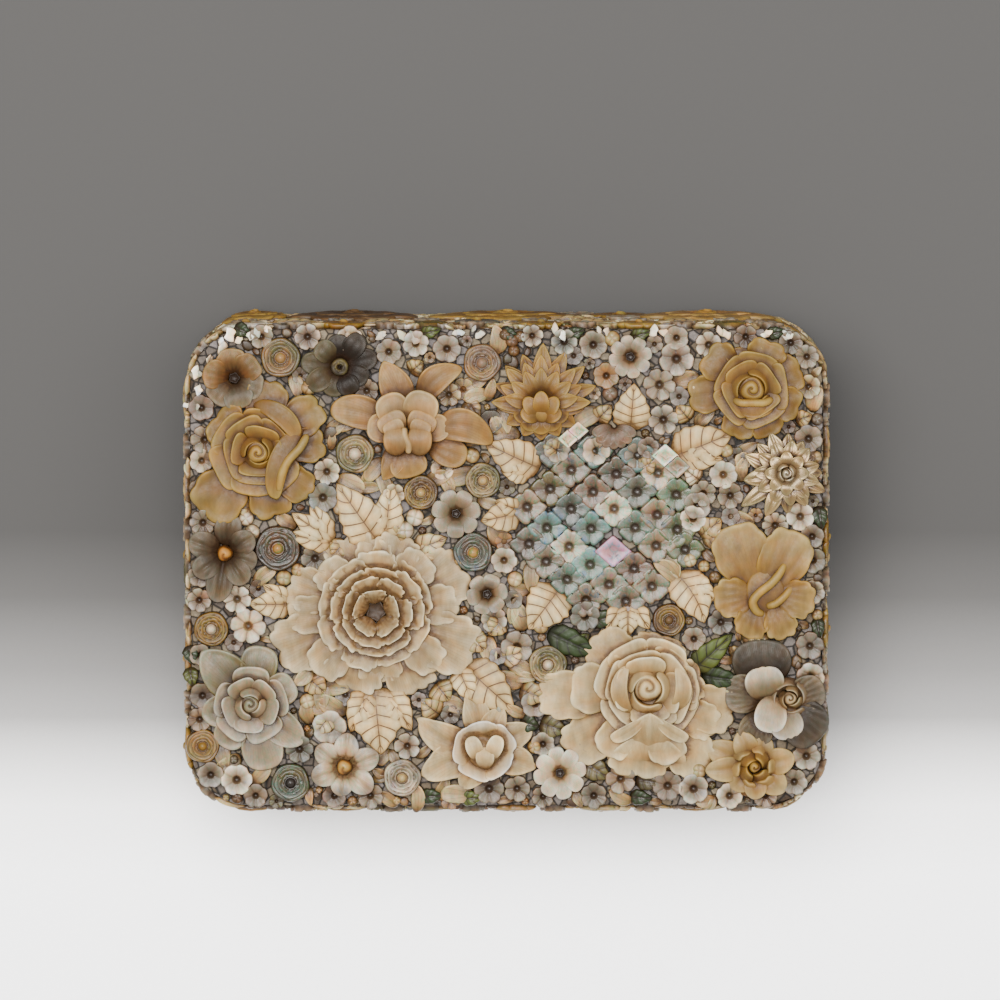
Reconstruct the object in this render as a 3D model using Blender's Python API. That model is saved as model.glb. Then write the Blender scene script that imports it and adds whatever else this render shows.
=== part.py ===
"""Lacquer box with a lift-off lid, its faces thickly encrusted with carved flowers, leaves and shell florets."""

import math
import random

import bmesh
import bpy
import numpy as np
from mathutils import Vector

MM = 0.001

# Driving dimensions, in metres
LID_LENGTH = 126.6 * MM
LID_WIDTH = 95.8 * MM
CORNER_RADIUS = 11.6 * MM
LID_TOP = 36.0 * MM
SEAM_HEIGHT = 22.0 * MM
FLOOR_THICKNESS = 2.6 * MM
WALL_THICKNESS = 3.6 * MM
LIP_THICKNESS = 1.6 * MM
LIP_HEIGHT = 3.6 * MM
LID_THICKNESS = 2.6 * MM
BED_THICKNESS = 1.2 * MM
PLINTH_HEIGHT = 1.4 * MM
PIECE_GAP = 0.3 * MM
LID_CLEARANCE = 0.3 * MM
BED_EDGE = 0.8 * MM
CORNER_STEPS = 4

# The ornament is laid out on a grid of steps, counted from the middle of the lid
STEPS_ALONG = 633.0
STEPS_ACROSS = 477.0
STEP_X = LID_LENGTH / STEPS_ALONG
STEP_Y = LID_WIDTH / STEPS_ACROSS
STEP = min(STEP_X, STEP_Y)

# Relief of each kind of ornament above the bed
FLORET_RELIEF = 1.3 * MM
TILE_RELIEF = 1.0 * MM
ROSETTE_RELIEF = 2.3 * MM
LEAF_RELIEF = 1.8 * MM
SIDE_RELIEF = 2.7 * MM
LID_SIDE_RELIEF = 1.6 * MM
SINK = 0.5 * MM
TRIM_GAP = 1.25 * PIECE_GAP
BED_TRIM_GAP = 0.6 * PIECE_GAP
TRIM_SHARE = 0.96
TRIM_ROUNDS = 80

# A flower with a heart no wider than this many steps opens to a hollow; with this many petals it has no shoulders
OPEN_HEART = 5
MANY_PETALS = 7
LARGE_BLOSSOM = 8

# Colours of the materials
COLOURS = {
    "lacquer": (0.030, 0.014, 0.010, 1.0),
    "amber_antler": (0.56, 0.36, 0.15, 1.0),
    "cream_antler": (0.72, 0.60, 0.43, 1.0),
    "peach_antler": (0.60, 0.42, 0.26, 1.0),
    "white_shell": (0.70, 0.67, 0.62, 1.0),
    "grey_shell": (0.36, 0.34, 0.31, 1.0),
    "dark_shell": (0.12, 0.10, 0.08, 1.0),
    "brown_shell": (0.42, 0.30, 0.18, 1.0),
    "abalone": (0.26, 0.33, 0.29, 1.0),
    "gilt_shell": (0.55, 0.45, 0.28, 1.0),
    "green_leaf": (0.10, 0.14, 0.06, 1.0),
}


def ring(count, reach, width, turn=0.0):
    """Even petals round a centre, as (direction, reach, width)."""
    return tuple((turn + 360.0 * k / count, reach, width) for k in range(count))


def oval_ring(count, along, up, width, turn=0.0):
    """Petals that reach further along than up, as (direction, reach, width)."""
    petals = []
    for k in range(count):
        direction = turn + 360.0 * k / count
        cosine, sine = math.cos(math.radians(direction)), math.sin(math.radians(direction))
        petals.append((direction, 1.0 / math.hypot(cosine / along, sine / up), width))
    return tuple(petals)


# Blossoms on the lid: name, material, x, y, heart radius, height in mm, petal tip, petals.
BLOSSOMS = (
    ("peony", "cream_antler", -130, -43, 46, 5.0, 0.42, (
        (112, 78, 50), (69, 72, 38), (31, 92, 56), (348, 99, 40), (330, 106, 44), (300, 86, 44),
        (262, 78, 56), (236, 74, 44), (207, 108, 52), (186, 98, 36), (162, 90, 50), (130, 72, 40))),
    ("camellia", "cream_antler", 141, -122, 42, 4.7, 0.42, (
        (132, 66, 46), (78, 56, 52), (40, 54, 44), (342, 78, 54), (303, 84, 54), (263, 80, 56),
        (221, 90, 48), (186, 101, 44), (158, 72, 46))),
    ("rose_left", "amber_antler", -247, 117, 30, 4.7, 0.42, (
        (74, 66, 36), (36, 76, 38), (10, 67, 32), (325, 54, 34), (287, 62, 38), (222, 67, 52),
        (174, 42, 36), (134, 52, 42))),
    ("rose_right", "amber_antler", 245, 179, 26, 4.4, 0.42, (
        (190, 62, 36), (143, 56, 40), (86, 46, 40), (58, 45, 32), (20, 47, 40), (340, 52, 36),
        (292, 48, 32), (245, 48, 31))),
    ("orchid", "peach_antler", -98, 143, 25, 4.6, 0.50, (
        (170, 78, 38), (108, 65, 30), (62, 66, 36), (7, 86, 38), (323, 62, 32), (275, 50, 34),
        (246, 55, 20))),
    ("lotus", "amber_antler", 36, 167, 19, 4.3, 0.80, (
        (111, 53, 20), (85, 61, 20), (62, 55, 20), (36, 58, 20), (14, 60, 16), (355, 50, 20),
        (333, 51, 18), (302, 38, 22), (275, 40, 20), (246, 38, 22), (208, 43, 22), (180, 44, 20),
        (154, 50, 18), (133, 50, 18))),
    ("hibiscus", "amber_antler", 255, -22, 9, 3.9, 0.40, (
        (114, 70, 52), (50, 62, 44), (190, 41, 38), (262, 46, 34), (318, 55, 38))),
    ("chrysanthemum", "gilt_shell", 279, 96, 14, 3.9, 0.75, (
        (157, 44, 18), (190, 42, 19), (217, 57, 17), (245, 49, 17), (272, 40, 15), (302, 38, 16),
        (334, 42, 17), (0, 33, 17), (34, 32, 15), (62, 33, 15), (112, 43, 18))),
    ("gardenia", "grey_shell", -256, -137, 21, 4.4, 0.42, (
        (131, 62, 48), (78, 55, 32), (26, 45, 32), (330, 52, 34), (288, 62, 40), (247, 48, 30),
        (200, 48, 32))),
    ("lily", "cream_antler", -22, -181, 19, 4.2, 0.66, (
        (103, 58, 22), (156, 69, 32), (208, 68, 34), (241, 42, 24), (339, 48, 26), (25, 48, 28))),
    ("daffodil", "amber_antler", 249, -200, 17, 4.1, 0.62, (
        (156, 54, 28), (115, 38, 22), (72, 33, 20), (15, 40, 26), (320, 38, 26), (270, 31, 20),
        (222, 30, 22), (184, 51, 24))),
    ("magnolia", "dark_shell", 268, -131, 15, 4.3, 0.45, (
        (108, 54, 48), (170, 33, 32), (250, 32, 34), (314, 52, 42), (18, 27, 22))),
    ("cosmos_left", "grey_shell", -281, 16, 9, 3.4, 0.46, (
        (82, 41, 28), (5, 31, 25), (304, 36, 26), (260, 51, 26), (216, 36, 26), (160, 36, 26))),
    ("cosmos_front", "white_shell", -162, -199, 8, 3.2, 0.48, (
        (144, 34, 24), (84, 34, 24), (20, 36, 24), (318, 36, 24), (262, 28, 22), (200, 34, 24))),
    ("striped_flower", "brown_shell", -272, 191, 5, 3.0, 0.42, (
        (90, 28, 26), (38, 30, 26), (322, 29, 28), (262, 27, 26), (215, 28, 24), (155, 30, 28))),
    ("dark_flower", "dark_shell", -166, 204, 9, 3.0, 0.50, (
        (12, 38, 22), (50, 29, 20), (115, 26, 22), (158, 34, 20), (198, 34, 20), (236, 30, 20),
        (278, 26, 20), (322, 31, 20))),
    ("white_flower", "white_shell", 54, -206, 4, 2.8, 0.42, ring(8, 26, 18, 22.0)),
    ("grey_flower_mid", "grey_shell", -50, 55, 4, 2.6, 0.42, ring(7, 24, 20, 10.0)),
    ("grey_flower_low", "grey_shell", -20, -26, 4, 2.4, 0.42, ring(6, 20, 20, 0.0)),
    ("pink_flower", "white_shell", 124, 212, 4, 2.6, 0.42, ring(8, 21, 15, 0.0)),
)

# Turned rosettes on the lid: name, material, x, y, radius
ROSETTES = (
    ("rosette_peach", "brown_shell", -226, 211, 19.5),
    ("rosette_rose", "brown_shell", -24, 207, 18.5),
    ("rosette_olive", "brown_shell", -152, 116, 19.0),
    ("rosette_honey", "brown_shell", -86, 76, 17.0),
    ("rosette_straw", "brown_shell", -23, 88, 17.5),
    ("rosette_night", "abalone", -229, 20, 22.0),
    ("rosette_sea", "abalone", -34, 16, 20.0),
    ("rosette_amber", "amber_antler", -296, -60, 17.0),
    ("rosette_corner", "amber_antler", -304, -178, 16.5),
    ("rosette_green", "abalone", -217, -216, 19.0),
    ("rosette_white", "white_shell", -105, -211, 18.5),
    ("rosette_fern", "brown_shell", 41, -96, 19.0),
    ("rosette_brown", "brown_shell", 162, -51, 16.5),
)

# Leaves on the lid: name, material, base x, base y, tip x, tip y, width, tip
LEAVES = (
    ("leaf_tall", "cream_antler", -126, 18, -166, 90, 44, 0.75),
    ("leaf_fan_upper", "cream_antler", -175, 28, -217, 46, 28, 0.70),
    ("leaf_fan_lower", "cream_antler", -216, -35, -258, -36, 28, 0.70),
    ("leaf_west", "cream_antler", 30, 98, -24, 128, 42, 0.65),
    ("leaf_inner", "cream_antler", 12, 54, -26, 50, 32, 0.65),
    ("leaf_north", "cream_antler", 124, 140, 126, 186, 36, 0.75),
    ("leaf_east", "cream_antler", 166, 112, 228, 144, 54, 0.55),
    ("leaf_south_east", "cream_antler", 168, -4, 198, -54, 46, 0.70),
    ("leaf_south_west", "cream_antler", 56, -20, 14, -54, 46, 0.60),
    ("leaf_three", "cream_antler", 121, -38, 121, -68, 26, 0.60),
    ("leaf_broad", "cream_antler", -40, -98, 8, -140, 50, 0.65),
    ("leaf_hanging", "cream_antler", -132, -118, -126, -188, 64, 0.70),
    ("green_leaf_dark", "green_leaf", 42, -62, 92, -90, 28, 0.70),
    ("green_leaf_light", "green_leaf", 186, -102, 226, -66, 24, 0.75),
    ("green_leaf_round", "green_leaf", 196, -108, 237, -112, 21, 0.65),
)

# Florets fused to the bed of the lid: x, y, radius, petals
FLORETS = (
    (170, 210, 16, 6), (-112, 74, 10, 6), (-12, -52, 13, 6), (101, -52, 9, 6),
    (-305, 161, 12, 6), (-302, 130, 14, 6), (-303, 78, 13, 6), (-303, 46, 12, 8), (-180, 98, 12, 6),
    (-183, 71, 14, 6), (-192, 10, 14, 6), (-270, -30, 13, 5), (-259, -57, 17, 6), (-117, 217, 12, 6),
    (-90, 225, 12, 6), (-60, 220, 13, 6), (-57, 174, 11, 6), (-139, 178, 11, 6), (87, 224, 14, 6),
    (99, 193, 12, 6), (152, 184, 15, 8), (156, 150, 13, 8), (201, 224, 10, 6), (293, 206, 13, 7),
    (301, 182, 11, 6), (301, 130, 13, 7), (216, 94, 13, 6), (223, 73, 13, 8), (196, 75, 12, 6),
    (268, 43, 13, 8), (293, 52, 14, 6), (306, -24, 11, 6), (303, -78, 13, 6), (304, -109, 14, 6),
    (214, -54, 13, 6), (-2, 8, 12, 6), (78, -47, 14, 6), (10, -79, 16, 6), (-304, -128, 11, 6),
    (-296, -208, 11, 6), (-270, -212, 15, 6), (-208, -181, 12, 6), (-178, -159, 16, 5),
    (-100, -178, 13, 5), (-17, -146, 11, 6), (28, -135, 13, 8), (-18, -221, 15, 6),
    (10, -221, 13, 6), (87, -228, 13, 6), (114, -211, 15, 6), (161, -218, 15, 7), (187, -221, 15, 8),
    (300, -188, 14, 7),
)

# Lozenge mosaic fused to the bed: rows of tiles, each y, first x, tiles in the row
TILE_PITCH = 44
TILE_ROWS = (
    (98, 65, 3), (77, 43, 4), (60, 21, 4), (40, 41, 4), (23, 22, 2), (23, 150, 2), (4, 40, 3),
    (-16, 61, 3), (-28, 79, 2),
)
TILE_RADIUS = 20

# Flowers fused to the sides of the lid: side, shares of the side's length
LID_SIDE_FLOWERS = (
    ("back", (-0.38, -0.19, 0.0, 0.19, 0.38)),
    ("front", (-0.38, -0.19, 0.0, 0.19, 0.38)),
    ("left", (-0.28, 0.0, 0.28)),
    ("right", (-0.28, 0.0, 0.28)),
)
LID_SIDE_REACH = 27
LID_SIDE_PETALS = 6

SIDE_SPREAD = 86

# Blossoms on the sides: name, material, side, along, up, heart, height in mm, petals
SIDE_BLOSSOMS = (
    ("side_bud_back", "amber_antler", "back", -0.403, 0.50, 9, oval_ring(6, 27, 40, 30, 30.0)),
    ("side_camellia_back", "dark_shell", "back", -0.245, 0.50, 13, oval_ring(8, 68, 49, 40, 0.0)),
    ("side_peony_back", "amber_antler", "back", 0.0, 0.50, 16, oval_ring(9, 82, 50, 42, 0.0)),
    ("side_rose_back", "peach_antler", "back", 0.32, 0.50, 14, oval_ring(8, 72, 50, 40, 0.0)),
    ("side_rose_front", "cream_antler", "front", -0.20, 0.50, 14, oval_ring(8, 62, 48, 38, 0.0)),
    ("side_lotus_front", "amber_antler", "front", 0.20, 0.50, 14, oval_ring(8, 62, 48, 38, 0.0)),
    ("side_rose_left", "amber_antler", "left", 0.0, 0.50, 14, oval_ring(8, 62, 48, 38, 0.0)),
    ("side_rose_right", "peach_antler", "right", 0.0, 0.50, 14, oval_ring(8, 62, 48, 38, 0.0)),
)


def clear_scene():
    """Empties the scene."""
    for item in list(bpy.data.objects):
        bpy.data.objects.remove(item, do_unlink=True)
    for mesh in list(bpy.data.meshes):
        bpy.data.meshes.remove(mesh)


def make_material(name):
    """A glossy material of one base colour, with a fine mottling."""
    material = bpy.data.materials.new(name)
    material.use_nodes = True
    nodes = material.node_tree.nodes
    shader = nodes["Principled BSDF"]
    noise = nodes.new("ShaderNodeTexNoise")
    noise.inputs["Scale"].default_value = 180.0
    ramp = nodes.new("ShaderNodeValToRGB")
    colour = COLOURS[name]
    ramp.color_ramp.elements[0].color = tuple(0.72 * c for c in colour[:3]) + (1.0,)
    ramp.color_ramp.elements[1].color = tuple(min(1.0, 1.18 * c) for c in colour[:3]) + (1.0,)
    links = material.node_tree.links
    links.new(noise.outputs["Fac"], ramp.inputs["Fac"])
    links.new(ramp.outputs["Color"], shader.inputs["Base Color"])
    shader.inputs["Roughness"].default_value = 0.32
    material.diffuse_color = colour
    return material


def add_object(name, vertices, faces, material):
    """Makes one closed body, its faces turned outward."""
    mesh = bpy.data.meshes.new(name)
    mesh.from_pydata([tuple(v) for v in vertices], [], faces)
    bm = bmesh.new()
    bm.from_mesh(mesh)
    bmesh.ops.recalc_face_normals(bm, faces=bm.faces[:])
    bm.to_mesh(mesh)
    bm.free()
    mesh.materials.append(material)
    body = bpy.data.objects.new(name, mesh)
    bpy.context.scene.collection.objects.link(body)
    return body


def rounded_outline(inset):
    """Points round the box, the given distance inside the outer face."""
    radius = max(CORNER_RADIUS - inset, 1.0 * MM)
    half_x = LID_LENGTH / 2 - inset - radius
    half_y = LID_WIDTH / 2 - inset - radius
    points = []
    for corner, (sign_x, sign_y) in enumerate(((1, 1), (-1, 1), (-1, -1), (1, -1))):
        for step in range(CORNER_STEPS + 1):
            angle = math.pi / 2 * (corner + step / CORNER_STEPS)
            x = sign_x * half_x + radius * math.cos(angle)
            y = sign_y * half_y + radius * math.sin(angle)
            points.append((x, y))
    return points


def loft(name, levels, material, closed=False):
    """Joins the outlines at each (inset, height), capped at both ends or closed into a ring."""
    vertices = []
    for inset, height in levels:
        vertices += [(x, y, height) for x, y in rounded_outline(inset)]
    count = len(rounded_outline(0.0))
    faces = []
    pairs = [(k, k + 1) for k in range(len(levels) - 1)]
    if closed:
        pairs.append((len(levels) - 1, 0))
    for low, high in pairs:
        for k in range(count):
            after = (k + 1) % count
            faces.append((low * count + k, low * count + after, high * count + after, high * count + k))
    if not closed:
        faces.append(tuple(range(count)))
        last = (len(levels) - 1) * count
        faces.append(tuple(last + k for k in range(count)))
    return add_object(name, vertices, faces, material)


def petal_width(u, tip):
    """Share of the full width at the share u of the length; a larger tip value is more pointed."""
    root = 0.5
    peak = root / (root + tip)
    u = np.clip(u, 0.0, 1.0)
    return (u / peak) ** root * ((1.0 - u) / (1.0 - peak)) ** tip


def petal_reach(angles, petals, tip):
    """How far the outline of a blossom reaches in each direction."""
    far = max(p[1] for p in petals)
    radii = np.linspace(0.0, far, 181)[None, :]
    best = np.full(len(angles), 0.12 * far)
    for direction, reach, width in petals:
        turn = angles[:, None] - math.radians(direction)
        along = radii * np.cos(turn) / reach
        aside = np.abs(radii * np.sin(turn))
        inside = (along > 0) & (along <= 1) & (aside <= 0.5 * width * petal_width(along, tip))
        best = np.maximum(best, (inside * radii).max(axis=1))
    return best


def petal_angles(petals, tip, shoulders):
    """Directions of each petal's tip, its shoulders and the notch beside it, and how high each one rises."""
    fine = np.radians(np.arange(0, 720))
    reach = petal_reach(fine[:360], petals, tip)
    reach = np.concatenate((reach, reach))
    order = sorted(p[0] % 360 for p in petals)
    found = {}
    for k, here in enumerate(order):
        after = order[(k + 1) % len(order)] + (360 if k + 1 == len(order) else 0)
        low, high = int(here) + 1, max(int(after), int(here) + 2)
        notch = low + int(np.argmin(reach[low:high]))
        found[round(here % 360, 3)] = 1.0
        found[round(notch % 360, 3)] = 0.0
        if shoulders:
            found[round((here + 0.55 * (notch - here)) % 360, 3)] = 0.8
            found[round((after - 0.55 * (after - notch)) % 360, 3)] = 0.8
    angles = sorted(found)
    return np.radians(np.array(angles)), np.array([found[a] for a in angles])


def inside_outline(points, outline):
    """Which points lie inside a closed outline."""
    x, y = points[:, 0][:, None], points[:, 1][:, None]
    ax, ay = outline[:, 0][None, :], outline[:, 1][None, :]
    bx, by = np.roll(outline[:, 0], -1)[None, :], np.roll(outline[:, 1], -1)[None, :]
    crosses = (ay > y) != (by > y)
    rise = np.where(by == ay, 1e-12, by - ay)
    return (crosses & (x < (bx - ax) * (y - ay) / rise + ax)).sum(axis=1) % 2 == 1


def edge_distance(points, outline):
    """Distance from each point to the nearest edge of a closed outline."""
    start = outline[None, :, :]
    edge = (np.roll(outline, -1, axis=0) - outline)[None, :, :]
    away = points[:, None, :] - start
    share = (away * edge).sum(axis=2) / np.maximum((edge * edge).sum(axis=2), 1e-18)
    near = away - np.clip(share, 0.0, 1.0)[:, :, None] * edge
    return np.sqrt((near * near).sum(axis=2)).min(axis=1)


def dense(outline, parts=6):
    """The outline with more points along each edge."""
    after = np.roll(outline, -1, axis=0)
    shares = np.arange(parts) / parts
    return (outline[:, None, :] + (after - outline)[:, None, :] * shares[None, :, None]).reshape(-1, 2)


def beside(angles, centre, points):
    """Marks the two rays on either side of each point."""
    order = np.argsort(angles % math.tau)
    turns = (angles % math.tau)[order]
    offsets = points - centre
    found = np.searchsorted(turns, np.arctan2(offsets[:, 1], offsets[:, 0]) % math.tau)
    hit = np.zeros(len(angles), bool)
    hit[order[found % len(order)]] = True
    hit[order[(found - 1) % len(order)]] = True
    return hit


def trimmed(centre, angles, radii, others, gap, limit):
    """Draws in an outline until it is clear of the others and inside the limit."""
    centre = np.array(centre)
    rays = np.stack((np.cos(angles), np.sin(angles)), axis=1)
    radii = radii.copy()
    far = radii.max() + gap
    near = [o for o in map(dense, others) if np.hypot(*(o - centre).T).min() < far]
    for _ in range(TRIM_ROUNDS):
        outline = centre + rays * radii[:, None]
        samples = dense(outline)
        outside = samples[~inside_outline(samples, limit)]
        hit = beside(angles, centre, outside)
        for other in near:
            close = inside_outline(samples, other) | (edge_distance(samples, other) < gap)
            hit |= beside(angles, centre, samples[close])
            inner = inside_outline(other, outline) | (edge_distance(other, outline) < gap)
            hit |= beside(angles, centre, other[inner])
        if not hit.any():
            break
        radii[hit] *= TRIM_SHARE
    return radii


def relief(name, centre, angles, rings, heights, base, material, place=None):
    """A closed carving: rings of points over the centre, with straight sides down to a flat back."""
    count = len(angles)
    vertices = [(centre[0], centre[1], base + heights[0])]
    for radii, height in zip(rings, heights[1:]):
        for k in range(count):
            vertices.append((
                centre[0] + radii[k] * math.cos(angles[k]),
                centre[1] + radii[k] * math.sin(angles[k]),
                base + height[k],
            ))
    faces = [(0, 1 + k, 1 + (k + 1) % count) for k in range(count)]
    for level in range(len(rings) - 1):
        inner, outer = 1 + level * count, 1 + (level + 1) * count
        for k in range(count):
            after = (k + 1) % count
            faces.append((inner + k, outer + k, outer + after, inner + after))
    rim = 1 + (len(rings) - 1) * count
    back = len(vertices)
    vertices += [(x, y, base) for x, y, _ in vertices[rim:rim + count]]
    for k in range(count):
        after = (k + 1) % count
        faces.append((rim + k, back + k, back + after, rim + after))
    faces.append(tuple(back + k for k in range(count)))
    if place:
        vertices = [place(v) for v in vertices]
    return add_object(name, vertices, faces, material)


def blossom(name, centre, petals, tip, heart, top, outline_of, base, material, shoulders=True, place=None):
    """A carved flower: a raised heart above a ring of domed petals."""
    angles, crest = petal_angles(petals, tip, shoulders)
    radii = outline_of(centre, angles, petal_reach(angles, petals, tip) * STEP)
    heart_radius = np.minimum(heart * STEP, 0.62 * radii)
    foot = np.minimum(1.16 * heart_radius, 0.78 * radii)
    middle = foot + 0.58 * (radii - foot)
    flat = np.ones(len(angles))
    if heart > OPEN_HEART:
        heights = [
            0.86 * top,
            1.00 * top * flat,
            top * (0.46 + 0.12 * crest),
            top * (0.44 + 0.26 * crest),
            top * (0.30 + 0.16 * crest),
        ]
        rings = [0.80 * heart_radius, foot, middle, radii]
    else:
        heights = [0.40 * top, top * (0.50 + 0.50 * crest), top * (0.30 + 0.40 * crest)]
        rings = [middle, radii]
    body = relief(name, centre, angles, rings, heights, base, material, place)
    return body, np.array(centre) + np.stack((np.cos(angles), np.sin(angles)), axis=1) * radii[:, None]


def rosette(name, centre, radius, outline_of, base, material):
    """A turned disc with a bead in a groove."""
    angles = np.radians(np.arange(0, 360, 36) + 18)
    radii = outline_of(centre, angles, np.full(len(angles), radius * STEP))
    flat = np.ones(len(angles))
    rings = [0.32 * radii, 0.78 * radii, radii]
    heights = [
        ROSETTE_RELIEF,
        0.66 * ROSETTE_RELIEF * flat,
        0.86 * ROSETTE_RELIEF * flat,
        0.52 * ROSETTE_RELIEF * flat,
    ]
    body = relief(name, centre, angles, rings, heights, base, material)
    return body, np.array(centre) + np.stack((np.cos(angles), np.sin(angles)), axis=1) * radii[:, None]


def leaf_rays(length, width, tip, count=10):
    """Directions and reach of a leaf's outline from its middle, with the tip along zero."""
    shares = np.linspace(0.0, 1.0, count // 2 + 1)
    along = length * (0.5 - 0.5 * np.cos(np.pi * shares)) - length / 2
    half = 0.5 * width * petal_width(along / length + 0.5, tip)
    upper = np.stack((along, half), axis=1)
    lower = upper[1:-1][::-1] * np.array((1.0, -1.0))
    points = np.concatenate((upper, lower))
    angles = np.arctan2(points[:, 1], points[:, 0])
    order = np.argsort(angles)
    return angles[order], np.hypot(points[:, 0], points[:, 1])[order]


def leaf(name, row, outline_of, base, material):
    """A leaf with a sunk midrib between two swelling halves."""
    base_x, base_y, tip_x, tip_y, width, tip = row
    start = Vector((base_x * STEP_X, base_y * STEP_Y))
    end = Vector((tip_x * STEP_X, tip_y * STEP_Y))
    centre = tuple((start + end) / 2)
    turn = math.atan2(end.y - start.y, end.x - start.x)
    angles, reach = leaf_rays((end - start).length, width * STEP, tip)
    radii = outline_of(centre, angles + turn, reach)
    swell = np.abs(np.sin(angles))
    middle = LEAF_RELIEF * (0.62 + 0.38 * swell)
    rim = np.full(len(angles), 0.50 * LEAF_RELIEF)
    rings = [0.55 * radii, radii]
    heights = [0.60 * LEAF_RELIEF, middle, rim]
    body = relief(name, centre, angles + turn, rings, heights, base, material)
    rays = np.stack((np.cos(angles + turn), np.sin(angles + turn)), axis=1)
    return body, np.array(centre) + rays * radii[:, None]


def fuse(body, parts):
    """Unites the parts with the body and removes them."""
    bm = bmesh.new()
    for part in parts:
        bm.from_mesh(part.data)
    tool_mesh = bpy.data.meshes.new("fused_ornament")
    bm.to_mesh(tool_mesh)
    bm.free()
    tool = bpy.data.objects.new("fused_ornament", tool_mesh)
    bpy.context.scene.collection.objects.link(tool)
    modifier = body.modifiers.new("fuse", "BOOLEAN")
    modifier.operation = "UNION"
    modifier.solver = "EXACT"
    modifier.object = tool
    view = bpy.context.evaluated_depsgraph_get()
    joined = bpy.data.meshes.new_from_object(body.evaluated_get(view))
    body.modifiers.clear()
    body.data = joined
    for item in [tool] + list(parts):
        bpy.data.objects.remove(item, do_unlink=True)
    return body


def bed_solids(others, limit, base, material):
    """The small florets and lozenge tiles that are fused to the bed of the lid."""
    taken = list(others)
    solids = []
    rows = [(x, y, radius, petals, FLORET_RELIEF) for x, y, radius, petals in FLORETS]
    for y, first, count in TILE_ROWS:
        rows += [(first + TILE_PITCH * k, y, TILE_RADIUS, 4, TILE_RELIEF) for k in range(count)]
    for x, y, radius, petals, height in rows:
        centre = (x * STEP_X, y * STEP_Y)
        points = petals
        angles = np.radians(90 + 360.0 * np.arange(points) / points)
        radii = trimmed(centre, angles, np.full(points, radius * STEP), taken, BED_TRIM_GAP, limit)
        if radii.min() < 0.45 * radius * STEP:
            continue
        flat = np.full(points, height + SINK)
        dip = height + SINK - 0.3 * height
        solids.append(relief("floret", centre, angles, [radii], [dip, flat], base - SINK, material))
        rays = np.stack((np.cos(angles), np.sin(angles)), axis=1)
        taken.append(np.array(centre) + rays * radii[:, None])
    return solids


def side_place(side, along, up):
    """Turns a flat carving onto a side of the box."""
    face_x = LID_LENGTH / 2
    face_y = LID_WIDTH / 2
    turns = {
        "front": lambda v: (v[0] + along * LID_LENGTH, -face_y - v[2], v[1] + up),
        "back": lambda v: (-v[0] + along * LID_LENGTH, face_y + v[2], v[1] + up),
        "right": lambda v: (face_x + v[2], v[0] + along * LID_WIDTH, v[1] + up),
        "left": lambda v: (-face_x - v[2], -v[0] + along * LID_WIDTH, v[1] + up),
    }
    return turns[side]


def side_limit():
    """How far a carving on a side may reach up and down from its middle."""
    half = (SEAM_HEIGHT - PLINTH_HEIGHT) / 2 - PIECE_GAP
    wide = SIDE_SPREAD * STEP
    return np.array(((-wide, -half), (wide, -half), (wide, half), (-wide, half)))


def lid_side_solids(material, middle):
    """Flowers in low relief along the sides of the lid."""
    solids = []
    petals = ring(LID_SIDE_PETALS, LID_SIDE_REACH, LID_SIDE_REACH, 30.0)
    angles, crest = petal_angles(petals, 0.42, False)
    radii = petal_reach(angles, petals, 0.42) * STEP
    heights = [SINK + 0.5 * LID_SIDE_RELIEF, SINK + LID_SIDE_RELIEF * (0.4 + 0.6 * crest)]
    for side, shares in LID_SIDE_FLOWERS:
        for share in shares:
            place = side_place(side, share, middle)
            solids.append(relief("floret", (0.0, 0.0), angles, [radii], heights, -SINK, material, place))
    return solids


def build_box(materials):
    """The hollow tray, the hollow lid, and the bed of ornament round each."""
    core = BED_THICKNESS + PIECE_GAP
    ledge = core + WALL_THICKNESS - LIP_THICKNESS
    inner = core + WALL_THICKNESS
    lip_top = SEAM_HEIGHT + LIP_HEIGHT
    loft("box_body", (
        (core, 0.0), (core, SEAM_HEIGHT), (ledge, SEAM_HEIGHT), (ledge, lip_top),
        (inner, lip_top), (inner, FLOOR_THICKNESS),
    ), materials["lacquer"])
    rim = SEAM_HEIGHT + PIECE_GAP
    lid_inner = ledge - LID_CLEARANCE
    ceiling = LID_TOP - LID_THICKNESS
    loft("lid", (
        (core, LID_TOP), (core, rim), (lid_inner, rim), (lid_inner, ceiling),
    ), materials["lacquer"])
    bed_top = LID_TOP + PIECE_GAP + BED_THICKNESS
    lid_bed = loft("lid_bed", (
        (BED_EDGE, bed_top), (0.3 * BED_EDGE, bed_top - 0.3 * BED_EDGE), (0.0, bed_top - BED_EDGE),
        (0.0, rim), (BED_THICKNESS, rim), (BED_THICKNESS, LID_TOP + PIECE_GAP),
    ), materials["grey_shell"])
    loft("body_bed", (
        (0.0, PLINTH_HEIGHT), (0.0, SEAM_HEIGHT), (BED_THICKNESS, SEAM_HEIGHT), (BED_THICKNESS, PLINTH_HEIGHT),
    ), materials["grey_shell"], closed=True)
    return lid_bed, bed_top


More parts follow.
